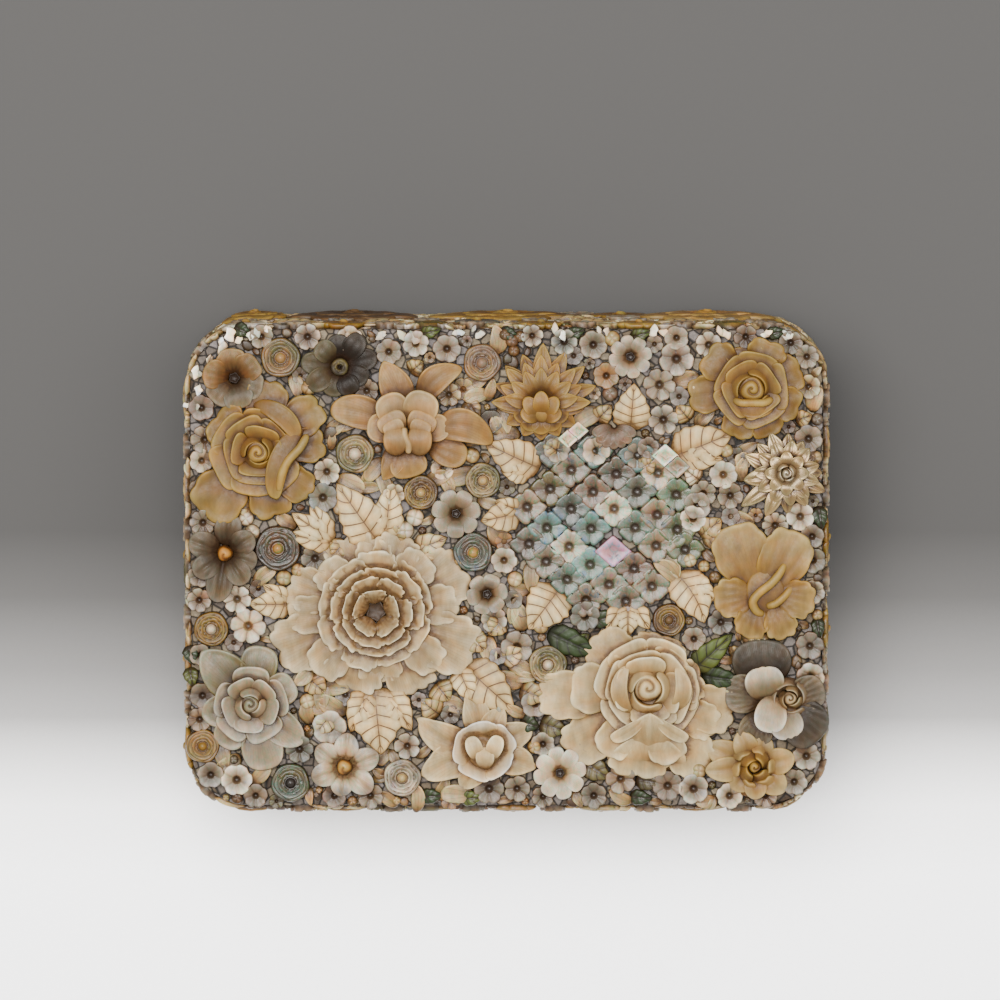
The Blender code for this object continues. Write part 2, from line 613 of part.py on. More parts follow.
def build_lid_ornament(materials, lid_bed, bed_top):
    """The carved pieces on the lid, each kept clear of the pieces before it."""
    limit = np.array(rounded_outline(BED_EDGE))
    base = bed_top + PIECE_GAP
    taken = []

    def outline_of(centre, angles, radii):
        return trimmed(centre, angles, radii, taken, TRIM_GAP, limit)

    for name, slot, x, y, heart, height, tip, petals in BLOSSOMS:
        centre = (x * STEP_X, y * STEP_Y)
        shoulders = tip < 0.6 and len(petals) < MANY_PETALS or len(petals) > LARGE_BLOSSOM
        _, outline = blossom(name, centre, petals, tip, heart, height * MM, outline_of, base,
                             materials[slot], shoulders)
        taken.append(outline)
    for name, slot, x, y, radius in ROSETTES:
        _, outline = rosette(name, (x * STEP_X, y * STEP_Y), radius, outline_of, base, materials[slot])
        taken.append(outline)
    for name, slot, *row in LEAVES:
        _, outline = leaf(name, row, outline_of, base, materials[slot])
        taken.append(outline)
    solids = bed_solids(taken, limit, bed_top, materials["grey_shell"])
    middle = (SEAM_HEIGHT + PIECE_GAP + bed_top) / 2
    fuse(lid_bed, solids + lid_side_solids(materials["grey_shell"], middle))


def build_side_ornament(materials):
    """The flowers round the tray's sides."""
    limit = side_limit()

    def outline_of(centre, angles, radii):
        return trimmed(centre, angles, radii, [], TRIM_GAP, limit)

    for name, slot, side, along, up, heart, petals in SIDE_BLOSSOMS:
        middle = PLINTH_HEIGHT + up * (SEAM_HEIGHT - PLINTH_HEIGHT)
        blossom(name, (0.0, 0.0), petals, 0.42, heart, SIDE_RELIEF, outline_of, PIECE_GAP,
                materials[slot], False, side_place(side, along, middle))


def main():
    """Builds the whole box."""
    random.seed(7)
    clear_scene()
    materials = {name: make_material(name) for name in COLOURS}
    lid_bed, bed_top = build_box(materials)
    build_lid_ornament(materials, lid_bed, bed_top)
    build_side_ornament(materials)
    for body in bpy.data.objects:
        body.data.shade_smooth()
        body.data.set_sharp_from_angle(angle=math.radians(35))


main()
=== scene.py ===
import math
import random

import bpy
import numpy as np
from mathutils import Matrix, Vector


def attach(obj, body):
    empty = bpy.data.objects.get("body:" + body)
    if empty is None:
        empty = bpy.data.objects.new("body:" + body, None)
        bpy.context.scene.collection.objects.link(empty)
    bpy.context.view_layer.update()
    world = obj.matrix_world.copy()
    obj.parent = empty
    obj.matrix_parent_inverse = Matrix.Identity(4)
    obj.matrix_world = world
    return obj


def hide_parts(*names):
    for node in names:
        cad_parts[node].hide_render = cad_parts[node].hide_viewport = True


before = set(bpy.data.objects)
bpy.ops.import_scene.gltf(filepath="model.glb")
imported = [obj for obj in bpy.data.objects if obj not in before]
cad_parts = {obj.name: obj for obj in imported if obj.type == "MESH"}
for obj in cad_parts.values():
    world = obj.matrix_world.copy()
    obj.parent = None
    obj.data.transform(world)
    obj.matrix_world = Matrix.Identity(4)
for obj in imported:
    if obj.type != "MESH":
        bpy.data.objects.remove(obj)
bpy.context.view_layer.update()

# Sizes, in metres. The ornament is laid out in steps from the middle of the lid.
STEP = 0.0002
MM = 0.001
HALF_X = 63.3 * MM
HALF_Y = 47.9 * MM
CORNER = 11.6 * MM
BED_TOP = 37.5 * MM
BED_UNDERSIDE = 36.3 * MM
BED_WALL = 1.2 * MM
SEAM = 22.0 * MM
LID_RIM = 22.3 * MM
PLINTH = 1.4 * MM
SHEET_ROOT = -0.3 * MM
draw = random.Random(11)

# Colours of the pieces, before stain and painted shade
AMBER = (0.127, 0.071, 0.0100)
LEAF_CREAM = (0.372, 0.288, 0.150)
AMBER_PALE = (0.165, 0.103, 0.021)
CREAM = (0.245, 0.180, 0.083)
IVORY = (0.315, 0.250, 0.142)
PEACH = (0.175, 0.102, 0.037)
WHITE = (0.370, 0.325, 0.265)
PEARL = (0.145, 0.117, 0.085)
GREY = (0.078, 0.065, 0.050)
SMOKE = (0.030, 0.024, 0.017)
DARK = (0.009, 0.0065, 0.0045)
OLIVE = (0.075, 0.065, 0.024)
BROWN = (0.068, 0.037, 0.014)
GILT = (0.190, 0.140, 0.060)
GREEN = (0.012, 0.0215, 0.0050)
GREEN_PALE = (0.043, 0.058, 0.0110)
TEAL = (0.060, 0.075, 0.068)
ROSE = (0.105, 0.070, 0.050)
LAVENDER = (0.135, 0.116, 0.110)
# Painted glint: a white brighter than any shell, for pieces that stand for light caught along the top edge
GLINT_WHITE = (0.60, 0.58, 0.54)
SKY = (0.070, 0.122, 0.128)
MOSS = (0.075, 0.098, 0.055)


NO_VEINS = (0.0, 0.0, 1.0)


class Carving:
    """Collects points, colours and faces of one piece."""

    def __init__(self, deep=False):
        self.points, self.tones, self.stains, self.lines, self.quads, self.tris = [], [], [], [], [], []
        self.count = 0
        self.deep = deep

    def add(self, points, tones, stains, quads, tris, lines=NO_VEINS):
        points = points.reshape(-1, 3)
        self.points.append(points)
        self.tones.append(tones.reshape(-1, 3))
        self.stains.append(stains.ravel())
        self.lines.append(np.broadcast_to(np.asarray(lines, float), points.shape))
        self.quads.append(quads + self.count)
        self.tris.append(np.asarray(tris) + self.count)
        self.count += len(points)

    def join(self):
        """One array of each kind."""
        for kind in ("points", "tones", "stains", "lines"):
            setattr(self, kind, [np.concatenate(getattr(self, kind))])

    def make(self, name, material):
        """The mesh object, with its colour, its stain and painted shade, and its engraved lines kept at its
        points.
        """
        self.join()
        quads, tris = np.concatenate(self.quads), np.concatenate(self.tris)
        corners = np.concatenate((quads.ravel(), tris.ravel()))
        sizes = np.repeat((4, 3), (len(quads), len(tris)))
        mesh = bpy.data.meshes.new(name)
        mesh.vertices.add(self.count)
        mesh.loops.add(len(corners))
        mesh.polygons.add(len(sizes))
        mesh.vertices.foreach_set("co", self.points[0].astype(np.float32).ravel())
        mesh.loops.foreach_set("vertex_index", corners.astype(np.int32))
        mesh.polygons.foreach_set("loop_start", (np.cumsum(sizes) - sizes).astype(np.int32))
        mesh.polygons.foreach_set("loop_total", sizes.astype(np.int32))
        mesh.polygons.foreach_set("use_smooth", np.ones(len(sizes), bool))
        tones = np.clip(np.concatenate((self.tones[0], np.ones((self.count, 1))), axis=1), 0, 1)
        for key, kind, part, values in (("tone", "FLOAT_COLOR", "color", tones),
                ("stain", "FLOAT", "value", np.clip(self.stains[0], 0, 1)),
                ("veins", "FLOAT_VECTOR", "vector", self.lines[0])):
            layer = mesh.attributes.new(key, kind, "POINT")
            layer.data.foreach_set(part, values.astype(np.float32).ravel())
        mesh.update()
        mesh.validate()
        return place_mesh(name, mesh, material)


def place_mesh(name, mesh, material):
    """Puts a mesh into the scene as one piece of one material."""
    piece = bpy.data.objects.new(name, mesh)
    bpy.context.scene.collection.objects.link(piece)
    mesh.materials.append(material)
    return piece


disks = {}


def disk(n):
    """A square grid drawn onto a round disk, closer together at the rim, with a coarser underside."""
    if n not in disks:
        line = np.linspace(-1, 1, n)
        line = np.sin(1.25 * line) / math.sin(1.25)
        u, v = np.meshgrid(line, line, indexing="ij")
        x = u * np.sqrt(1 - v * v / 2)
        y = v * np.sqrt(1 - u * u / 2)
        rho = np.sqrt(np.clip(x * x + y * y, 0, 1))
        across = np.clip(x / (np.sqrt(np.clip(1 - y * y, 0, 1)) + 1e-6), -1, 1)
        number = np.arange(n * n).reshape(n, n)
        quads = np.stack((number[:-1, :-1], number[1:, :-1], number[1:, 1:], number[:-1, 1:]),
            -1).reshape(-1, 4)
        inner = np.zeros((n, n), bool)
        inner[2:-2:2, 2:-2:2] = True
        below = number.copy()
        below[inner] = n * n + np.arange(inner.sum())
        disks[n] = dict(x=x, y=y, u=u, rho=rho, across=across, s=(y + 1) / 2, inner=inner, quads=quads,
            tris=underside(n, inner, below))
    return disks[n]


def underside(n, inner, below):
    """Triangles of every second line of the grid, joined to all the points of the rim."""
    tris = []
    last = n - 1
    for i in range(0, last, 2):
        for j in range(0, last, 2):
            ring = [(i, j)] + [(i + 1, j)] * (j == 0) + [(i + 2, j)] + [(i + 2, j + 1)] * (i + 2 == last)
            ring += [(i + 2, j + 2)] + [(i + 1, j + 2)] * (j + 2 == last)
            ring += [(i, j + 2)] + [(i, j + 1)] * (i == 0)
            start = next(k for k, place in enumerate(ring) if inner[place])
            ring = [below[place] for place in ring[start:] + ring[:start]]
            tris += [(ring[0], ring[k + 1], ring[k]) for k in range(1, len(ring) - 1)]
    return np.array(tris)


def petal_width(s, tip, root=0.5):
    """Share of the full width at the share s of the length."""
    peak = root / (root + tip)
    s = np.clip(s, 1e-5, 1 - 1e-5)
    return (s / peak) ** root * ((1 - s) / (1 - peak)) ** tip


def smooth(low, high, value):
    t = np.clip((value - low) / (high - low), 0, 1)
    return t * t * (3 - 2 * t)


def add_sheet(c, g, x, y, z, thick, tone, stain, veins):
    """A thin closed sheet: x and y in steps, z and thickness in mm above the bed."""
    top = np.stack((x * STEP, y * STEP, z * MM), -1)
    below = top.copy()
    below[..., 2] = SHEET_ROOT if c.deep else below[..., 2] - thick * MM
    points = np.concatenate((top.reshape(-1, 3), below[g["inner"]]))
    # The underside gets painted shade: a darker colour and more stain and shade
    tones = np.concatenate((tone.reshape(-1, 3), 0.75 * tone[g["inner"]]))
    stains = np.concatenate((stain.ravel(), stain[g["inner"]] + 0.4))
    lines = np.stack([np.broadcast_to(v, x.shape) for v in veins], -1)
    lines = np.concatenate((lines.reshape(-1, 3), lines[g["inner"]]))
    c.add(points, tones, stains, g["quads"], g["tris"], lines)


def shade(base, light):
    """The base colour times painted light and shade, warmer where the painted shade darkens it."""
    light = np.clip(light, 0.05, 1.6)[..., None]
    return np.asarray(base) * light ** np.array((0.9, 1.15, 1.6))


def petal(c, x, y, direction, reach, width, z=(1.0, 2.2, 1.9), root=0.0, tip=0.42, narrow=0.5, dome=0.12,
        curl=0.28, ruffle=(0, 0.0), scallop=(0, 0.0), notch=0.0, grooves=(0, 0.0), thick=0.7, bend=0.0,
        bow=0.0, tilt=0.0, n=15, tone=CREAM, rim=0.22, base_stain=0.8, tip_tone=None, lines=(9, 0.25),
        fold=0.0):
    """One petal as a thin bent sheet with a raised rim."""
    g = disk(n)
    s, across, rho = g["s"], g["across"], g["rho"]
    length = reach - root
    aside = 0.5 * width * across * petal_width(s, tip, narrow)
    along = root + length * s
    phi = np.arctan2(g["x"], g["y"])
    edge = rho ** 6
    if scallop[0]:
        phase = draw.uniform(0, 3)
        uneven = 1 + 0.35 * np.sin(1.7 * phi + 2 * phase)
        lobes = np.abs(np.cos(0.5 * scallop[0] * phi + phase)) * uneven
        grow = 1 + 2 * scallop[1] * (lobes - 0.6) * edge * smooth(0.1, 0.5, s)
        middle = root + 0.5 * length
        along = middle + (along - middle) * grow
        aside = aside * grow
    if notch:
        along = along - notch * length * np.exp(-(across / 0.25) ** 2) * smooth(0.6, 1.0, s)
    fan_out = np.arctan2(aside, along - root + 0.3 * length)
    height = z[0] * (1 - s) * (1 - 2 * s) + 4 * z[1] * s * (1 - s) + z[2] * s * (2 * s - 1)
    height = height + dome * (1 - rho ** 2)
    height = height + curl * smooth(0.74, 1.0, rho) * smooth(0.15, 0.5, s) + tilt * across
    if fold:
        height = height - fold * np.exp(-(across / 0.22) ** 2) * (1 - rho ** 6)
    if ruffle[0]:
        height = height + ruffle[1] * rho ** 3 * np.cos(ruffle[0] * phi + draw.uniform(0, 6))
    # Stain and painted shade at the root, where the petal lies under others
    stain = base_stain * np.exp(-s / 0.20)
    # Painted light and shade: a painted highlight along the rim, painted shade towards the root
    light = 0.78 + 0.18 * smooth(0.2, 0.85, rho) + 1.4 * rim * rho ** 12 - 0.28 * (1 - s) ** 1.5
    light = light + 0.05 * np.cos(9 * fan_out + draw.uniform(0, 6)) * s
    if grooves[0]:
        line = (0.5 + 0.5 * np.cos(2 * math.pi * grooves[0] * fan_out)) ** 3
        inside = (1 - rho ** 8) * smooth(0.02, 0.2, s)
        height = height - grooves[1] * line * inside
        stain = stain + 0.16 * line * inside * (1 - 0.5 * s)
    height = height - 0.5 * thick * (1 - np.sqrt(np.clip(1 - rho ** 12, 0, 1)))
    depth = thick * np.sqrt(np.clip(1 - rho ** 12, 0, 1))
    aside = aside + bend * length * s ** 2 + bow * length * 4 * s * (1 - s)
    a = math.radians(direction)
    px = x + along * math.cos(a) - aside * math.sin(a)
    py = y + along * math.sin(a) + aside * math.cos(a)
    light = light * (1 + 0.05 * draw.uniform(-1, 1))
    tones = shade(tone, light)
    if tip_tone is not None:
        mix = (smooth(0.35, 1.0, s) * 0.8)[..., None]
        tones = tones * (1 - mix) + shade(tip_tone, light) * mix
    strength = lines[1] * (1 - 0.45 * s) * smooth(0.0, 0.1, s) * (1 - rho ** 10)
    add_sheet(c, g, px, py, height, depth, tones, stain, (lines[0] * fan_out + 0.5, strength, 1.0))


def arc_petal(c, x, y, direction, span, r1, r2, z1, z2, curl=0.0, tilt=0.45, thick=0.5, n=15, tone=CREAM,
        crest=0.26, frill=(0, 0.0), base_stain=0.75, drop=0.95, lines=(16, 0.2), spiral=0.09):
    """A cupped petal round the heart: it rises steeply to its crest and rolls down outwards."""
    g = disk(n)
    s, rho = g["s"], g["rho"]
    side = 0.75 * g["x"] + 0.25 * g["u"]
    radius = (r1 + (r2 - r1) * s) * (1 + spiral * side)
    phase = draw.uniform(0, 6)
    if frill[0]:
        radius = radius + frill[1] * (0.5 + 0.5 * s ** 2) * np.cos(frill[0] * side * math.pi + phase)
    rise = np.sin(0.5 * math.pi * np.clip(s / crest, 0, 1)) ** 1.4
    fall = np.clip((s - crest) / (1 - crest), 0, 1) ** 0.80
    height = z1 + (z2 - z1) * (rise - drop * fall) + tilt * side - 0.45 * (z2 - z1) * side ** 2
    height = height + curl * smooth(0.8, 1.0, s)
    height = height - 0.5 * thick * (1 - np.sqrt(np.clip(1 - rho ** 12, 0, 1)))
    angle = np.radians(direction + side * span / 2)
    # Stain and painted shade at the root and the outer edge, and a painted highlight along the crest
    stain = base_stain * (1 - smooth(0.02, 0.7 * crest, s)) + 0.40 * smooth(0.75, 1.0, s)
    light = 0.74 + 0.46 * np.exp(-((s - crest) / 0.10) ** 2)
    light = light + 0.10 * smooth(0.3, 0.8, s) + 0.05 * draw.uniform(-1, 1)
    light = light + 0.10 * np.abs(side) ** 6
    depth = thick * np.sqrt(np.clip(1 - rho ** 12, 0, 1))
    add_sheet(c, g, x + radius * np.cos(angle), y + radius * np.sin(angle), height, depth,
        shade(tone, light), stain, (lines[0] * np.radians(side * span / 2) + 0.5,
        lines[1] * (1 - rho ** 8), 1.0))


def lathe(c, x, y, angles, radii, heights, tone, stain, centre, veins=None):
    """A round carving: rings of points about a centre, with a wall down to the bed."""
    rings, count = radii.shape
    px = x + radii * np.cos(angles)[None, :]
    py = y + radii * np.sin(angles)[None, :]
    middle = np.array([[x * STEP, y * STEP, centre[0] * MM]])
    surface = np.stack((px * STEP, py * STEP, heights * MM), -1).reshape(-1, 3)
    foot = np.stack((px[-1] * STEP, py[-1] * STEP, np.zeros(count)), -1)
    # The wall down to the bed gets painted shade: half the colour and full stain and shade
    tones = np.concatenate((np.array(centre[1]).reshape(1, 3), tone.reshape(-1, 3), 0.5 * tone[-1]))
    stains = np.concatenate(([centre[2]], stain.ravel(), np.ones(count)))
    number = 1 + np.arange((rings + 1) * count).reshape(rings + 1, count)
    after = np.roll(number, -1, axis=1)
    quads = np.stack((number[:-1], number[1:], after[1:], after[:-1]), -1).reshape(-1, 4)
    tris = np.stack((np.zeros(count, int), number[0], after[0]), -1)
    lines = NO_VEINS
    if veins is not None:
        lines = np.stack([np.broadcast_to(v, radii.shape) for v in veins], -1).reshape(-1, 3)
        lines = np.concatenate(([NO_VEINS], lines, np.broadcast_to(NO_VEINS, (count, 3))))
    c.add(np.concatenate((middle, surface, foot)), tones, stains, quads, tris, lines)


def bud(c, x, y, radius, z0, z1, tone, turns=2.2, depth=0.35, count=36, rings=15, turn=0.0):
    """A furled heart with a spiral groove."""
    angles = np.linspace(0, 2 * math.pi, count, endpoint=False)
    share = np.linspace(0.06, 1, rings)[:, None]
    radii = radius * share * (1 + 0.05 * np.cos(3 * angles + turn))[None, :]
    spiral = np.cos(angles[None, :] + turn - 2 * math.pi * turns * share)
    groove = (0.5 - 0.5 * spiral) ** 4
    heights = z0 + (z1 - z0) * np.sqrt(np.clip(1 - share ** 2.2, 0, 1)) - depth * groove * (1 - share ** 6)
    heights = heights + 0.12 * (0.5 + 0.5 * spiral) * (1 - share ** 4)
    # Painted shade and stain in the spiral groove and at the edge
    light = 1.08 - 0.14 * groove + 0 * share
    stain = 0.75 * groove ** 1.5 * (1 - share ** 4) + 0.8 * share ** 8
    lathe(c, x, y, angles, radii, heights, shade(tone, light), stain + 0 * heights,
        (z1 - 0.3 * depth, np.array(tone) * 0.95, 0.3))


def floret(c, x, y, radius, petals, height=1.3, tone=GREY, turn=None, hole=0.20, lobes=0.22, base=0.25,
        eye=0.10, pointed=0.0, detail=8, rings=8, tip_tone=None):
    """A small flat shell flower with a drilled hole."""
    count = petals * detail
    angles = np.linspace(0, 2 * math.pi, count, endpoint=False)
    turn = draw.uniform(0, 6.28) if turn is None else turn
    arch = np.abs(np.cos(0.5 * petals * (angles - turn)))
    gap = (1 - arch)[None, :] ** 5
    outline = 1 - lobes * (1 - arch ** 0.55) - 0.05 * arch ** 12 + pointed * arch ** 4
    share = np.concatenate(([hole * 0.8, hole * 1.25], np.linspace(0.32, 0.88, rings - 4), [0.95, 1.0]))[:,
        None]
    radii = radius * share * (1 + (outline - 1)[None, :] * share ** 1.5)
    cup = smooth(hole, 0.80, share)
    heights = base + (height - base) * (0.66 + 0.34 * cup) * (1 - 0.45 * gap * smooth(hole, 0.4, share))
    heights = heights - 0.10 * (height - base) * (arch[None, :] ** 8) * cup * (1 - share)
    heights[0] = base
    heights[-1] -= 0.35 * (height - base)
    lift = np.array([draw.uniform(-0.12, 0.12) for _ in range(petals)])
    which = np.round(petals * (angles - turn) / (2 * math.pi)).astype(int) % petals
    heights = heights + lift[which][None, :] * arch[None, :] * cup
    # Painted light on lifted petals and the rim, painted shade in the gaps and towards the hole
    light = (0.66 + 0.36 * cup + 0.16 * share ** 6) * (1 - 0.30 * gap) * (1 + 0.9 * lift[which][None, :])
    tones = shade(tone, light)
    if tip_tone is not None:
        mix = (smooth(0.4, 1.0, share) * np.ones((1, count)))[..., None]
        tones = tones * (1 - mix) + shade(tip_tone, light) * mix
    # Stain and painted shade round the hole, in the gaps between the petals and at the edge
    stain = 1.0 * np.exp(-((share - hole) / eye) ** 2) + 0.85 * gap * smooth(hole, 0.35, share)
    stain = stain + 0.5 * share ** 18
    stain[0] = 1.0
    phase = petals * 3 * (angles - turn) / (2 * math.pi) + 0.5
    lathe(c, x, y, angles, radii, heights, tones, stain, (base * 0.4, (0.012, 0.007, 0.005), 1.0),
        (phase[None, :], 0.34 * (1 - 0.6 * share) + 0 * heights, 1.0))


def rosette(c, x, y, radius, tones_in, height=2.3, rings=26, count=56, lines=5.0, bead=0.2,
        bead_tone=None):
    """A shell disc carved in scalloped rings of tiny petals, with a bead in its middle."""
    angles = np.linspace(0, 2 * math.pi, count, endpoint=False)
    share = np.concatenate((np.linspace(0.05, bead, 5), np.linspace(bead + 0.04, 1, rings - 5)))[:, None]
    a = angles[None, :]
    ring_number = np.floor(lines * share)
    scallop = np.abs(np.sin(2.5 * a + 1.7 * ring_number + draw.uniform(0, 6)))
    phase = lines * share + 0.34 * (scallop - 0.6)
    saw = phase - np.floor(phase)
    heights = height * (0.66 + 0.18 * np.sin(math.pi * share ** 1.4)) + 0.42 * (saw ** 0.7 - 0.5)
    inside = share[:, 0] <= bead
    heights[inside] = height * 0.98 * np.sqrt(np.clip(1 - 0.6 * (share[inside] / bead) ** 2, 0,
        1)) + 0 * angles
    edge = share[:, 0] > 0.93
    heights[edge] -= 0.55 * (share[edge] - 0.93) / 0.07
    wobble = 0.6 * np.cos(5 * angles + draw.uniform(0, 6)) + 0.4 * np.cos(3 * angles + draw.uniform(0, 6))
    radii = radius * share * (1 + 0.035 * wobble[None, :] * share)
    mix = (0.5 + 0.5 * np.sin(a + 5 * share + 0.8 * wobble[None, :]))[..., None]
    # Painted shade at the foot of each ring of tiny petals, with stain and painted shade there and round the
    # bead
    tones = (np.array(tones_in[0]) * mix + np.array(tones_in[1]) * (1 - mix)) * (0.48 + 0.42 *
        saw[..., None])
    stain = 0.85 * (1 - smooth(0.0, 0.30, saw)) + 0 * share
    stain = stain + 0.9 * np.exp(-((share - bead - 0.04) / 0.03) ** 2)
    if bead_tone is not None:
        tones[inside] = bead_tone
    stain[inside] *= 0.2
    lathe(c, x, y, angles, radii, heights, tones, stain, (height, tones[0, 0], 0.1),
        (30 * angles[None, :] / (2 * math.pi), 0.25 + 0 * heights, 1.0))


def bead(c, x, y, radius, tone, height=1.5):
    """A small domed bead with a cross cut in it."""
    angles = np.linspace(0, 2 * math.pi, 20, endpoint=False)
    share = np.array([0.3, 0.62, 0.88, 1.0])[:, None]
    turn = draw.uniform(0, 3)
    cut = np.abs(np.cos(2 * (angles + turn))) ** 12
    heights = height * (0.55 + 0.45 * np.sqrt(np.clip(1 - share ** 2.6, 0, 1)))
    heights = heights - 0.25 * cut[None, :] * (1 - share ** 6)
    # Painted shade towards the edge, with stain and painted shade in the cross cut and round the edge
    light = 1.0 - 0.10 * share + 0 * heights
    stain = 0.65 * cut[None, :] * (1 - share ** 8) + 0.7 * share ** 8
    lathe(c, x, y, angles, radius * share + 0 * heights, heights, shade(tone, light), stain,
        (height * 0.85, tone, 0.35))


def leaf(c, x0, y0, x1, y1, width, tip=1.0, z=(0.9, 1.9, 1.1), veins=5, n=25, tone=IVORY, bend=0.0,
        narrow=0.48, depth=0.18, dome=0.35, slant=1.1, wavy=0.05, thick=0.6, strength=1.0, cup=0.3):
    """A pointed leaf with a sunk midrib, engraved side veins and raised edges."""
    g = disk(n)
    s, across, rho = g["s"], g["across"], g["rho"]
    length = math.hypot(x1 - x0, y1 - y0)
    side = np.abs(across)
    phase = veins * (s ** 0.9) - slant * side * (0.5 + 0.5 * s)
    wave = 0.5 + 0.5 * np.cos(2 * math.pi * phase)
    rib = np.exp(-(side / (0.10 + 0.06 * (1 - s))) ** 2) * (1 - smooth(0.9, 1.0, s))
    height = z[0] * (1 - s) * (1 - 2 * s) + 4 * z[1] * s * (1 - s) + z[2] * s * (2 * s - 1)
    height = height + dome * (1 - rho ** 2) - depth * wave ** 3 * (1 - rho ** 6) - 1.6 * depth * rib
    height = height + cup * side ** 2 * (1 - rho ** 8) * smooth(0.05, 0.4, s)
    height = height - 0.5 * thick * (1 - np.sqrt(np.clip(1 - rho ** 10, 0, 1)))
    jagged = 1 + wavy * (1 - 2 * wave) * rho ** 4 * (1 + 0.4 * np.sin(9 * s + draw.uniform(0, 6)))
    aside = 0.5 * width * across * petal_width(s, tip, narrow) * jagged
    aside = aside + bend * length * (4 * s * (1 - s))
    along = length * s
    a = math.atan2(y1 - y0, x1 - x0)
    px = x0 + along * math.cos(a) - aside * math.sin(a)
    py = y0 + along * math.sin(a) + aside * math.cos(a)
    # Stain and painted shade in the sunk midrib, at the base, round the edge and along the veins; painted
    # light between the veins and painted shade on the midrib
    stain = 0.45 * rib + 1.0 * np.exp(-s / 0.13) + 0.75 * rho ** 14 + 0.26 * wave ** 3 * side
    light = 0.90 + 0.14 * smooth(0.0, 0.5, side) * (1 - wave) - 0.10 * rib + 0.05 * draw.uniform(-1, 1)
    shown = strength * (1 - smooth(0.84, 0.98, rho)) * smooth(0.0, 0.06, s)
    lines = (phase + 0.5, 0.95 * shown, side * petal_width(s, tip, narrow) * 0.5 * width + 3.0 *
        smooth(0.85, 1.0, s))
    add_sheet(c, g, px, py, height, thick * np.sqrt(np.clip(1 - rho ** 10, 0, 1)), shade(tone, light),
        stain, lines)


def chip(c, x, y, radius, tone, height, count=8, squash=1.0, turn=None, dome=0.25):
    """A low rounded scale of shell that fills the gaps."""
    angles = np.linspace(0, 2 * math.pi, count, endpoint=False)
    turn = draw.uniform(0, 6.28) if turn is None else turn
    outline = 1 / np.hypot(np.cos(angles - turn), np.sin(angles - turn) / squash)
    outline = outline * (1 + 0.08 * np.cos(3 * angles + turn))
    share = np.array([0.55, 0.90, 1.0])[:, None]
    radii = radius * share * outline[None, :]
    slope = draw.uniform(-0.25, 0.25) * np.cos(angles - turn)[None, :] * share
    heights = height - dome * share ** 2 * np.array([1, 1, 1.9])[:, None] + slope
    # Painted shade and stain towards the edge
    lathe(c, x, y, angles, radii, heights, shade(tone, 1 - 0.2 * share ** 6 + 0 * heights),
        0.15 + 0.5 * share ** 6 + 0 * heights, (height, tone, 0.1))


# The layout grid counts columns to the right and rows down, in steps, with the lid's middle here.
MIDDLE_COLUMN = 506.5
MIDDLE_ROW = 568.5


def at(column, row):
    """The grid place in steps from the middle of the lid."""
    return column - MIDDLE_COLUMN, MIDDLE_ROW - row


def vary(tone, share=0.10):
    """The same colour, a little lighter or darker, warmer or cooler."""
    light = 1 + draw.uniform(-share, share)
    warm = draw.uniform(-0.4 * share, 0.4 * share)
    return (tone[0] * light * (1 + warm), tone[1] * light, tone[2] * light * (1 - warm))


def mixed(a, b, share):
    """A colour between two."""
    return tuple(p + (q - p) * share for p, q in zip(a, b))


def lobes(c, rows, z, **look):
    """Loose petals, each as (column, row, half its length, width, direction)."""
    for k, (column, row, half, width, direction) in enumerate(rows):
        x, y = at(column, row)
        own = dict(dict(tip=0.40), **look)
        own["tone"] = vary(own["tone"], 0.05)
        lift = 0.2 * (k % 2)
        petal(c, x, y, direction, half, width, root=-half, z=tuple(h + lift for h in z), **own)


def fan(c, column, row, rows, root, z, **look):
    """Outer petals of a flower, each as (direction, reach, width)."""
    x, y = at(column, row)
    for k, (direction, reach, width) in enumerate(rows):
        lift = 0.28 * (k % 2) + draw.uniform(-0.05, 0.1)
        petal(c, x, y, direction, reach, width, root=root, z=tuple(h + lift for h in z), **look)


def whorl(c, column, row, count, span, r1, r2, z1, z2, turn=0.0, **look):
    """Cupped petals in a ring about the heart."""
    x, y = at(column, row)
    for k in range(count):
        direction = turn + 360 * k / count + draw.uniform(-7, 7)
        grow = draw.uniform(0.96, 1.05)
        arc_petal(c, x + draw.uniform(-1, 1), y + draw.uniform(-1, 1), direction,
            span * draw.uniform(0.95, 1.1), r1 * grow, r2 * grow, z1, z2 * draw.uniform(0.97, 1.02),
            **dict(look, tone=vary(look["tone"], 0.05)))


# Petals of the big flowers about their hearts: direction, reach, width
ROSE_LEFT = ((80, 72, 44), (38, 80, 40), (8, 68, 36), (320, 68, 36), (285, 68, 44), (229, 84, 54),
    (180, 46, 42), (140, 56, 46))
ROSE_RIGHT = ((187, 64, 38), (141, 58, 42), (100, 44, 40), (68, 52, 40), (22, 54, 40), (338, 52, 36),
    (292, 52, 34), (250, 52, 34))
CAMELLIA = ((128, 80, 50), (75, 64, 54), (100, 56, 44), (179, 108, 50), (348, 90, 50), (20, 60, 44),
    (217, 98, 50), (264, 84, 62), (307, 96, 50), (336, 78, 40))
CAMELLIA_INNER = ((172, 76, 52), (15, 54, 40), (235, 72, 40), (292, 72, 40), (112, 56, 40), (55, 54, 40))
PEONY_OUTER = ((114, 82, 54), (71, 80, 48), (26, 98, 62), (336, 109, 62), (298, 92, 52), (249, 83, 62),
    (203, 110, 58), (162, 92, 46))
PEONY_INNER = ((92, 72, 38), (48, 76, 42), (6, 82, 42), (318, 84, 40), (274, 72, 46), (225, 86, 44),
    (183, 88, 40), (139, 72, 40))
LOTUS = ((111, 52, 20), (88, 60, 21), (64, 57, 20), (40, 57, 20), (17, 58, 19), (352, 44, 20),
    (326, 42, 21), (298, 38, 22), (270, 38, 22), (242, 38, 22), (212, 41, 21), (184, 46, 20),
    (158, 50, 19), (134, 52, 19))
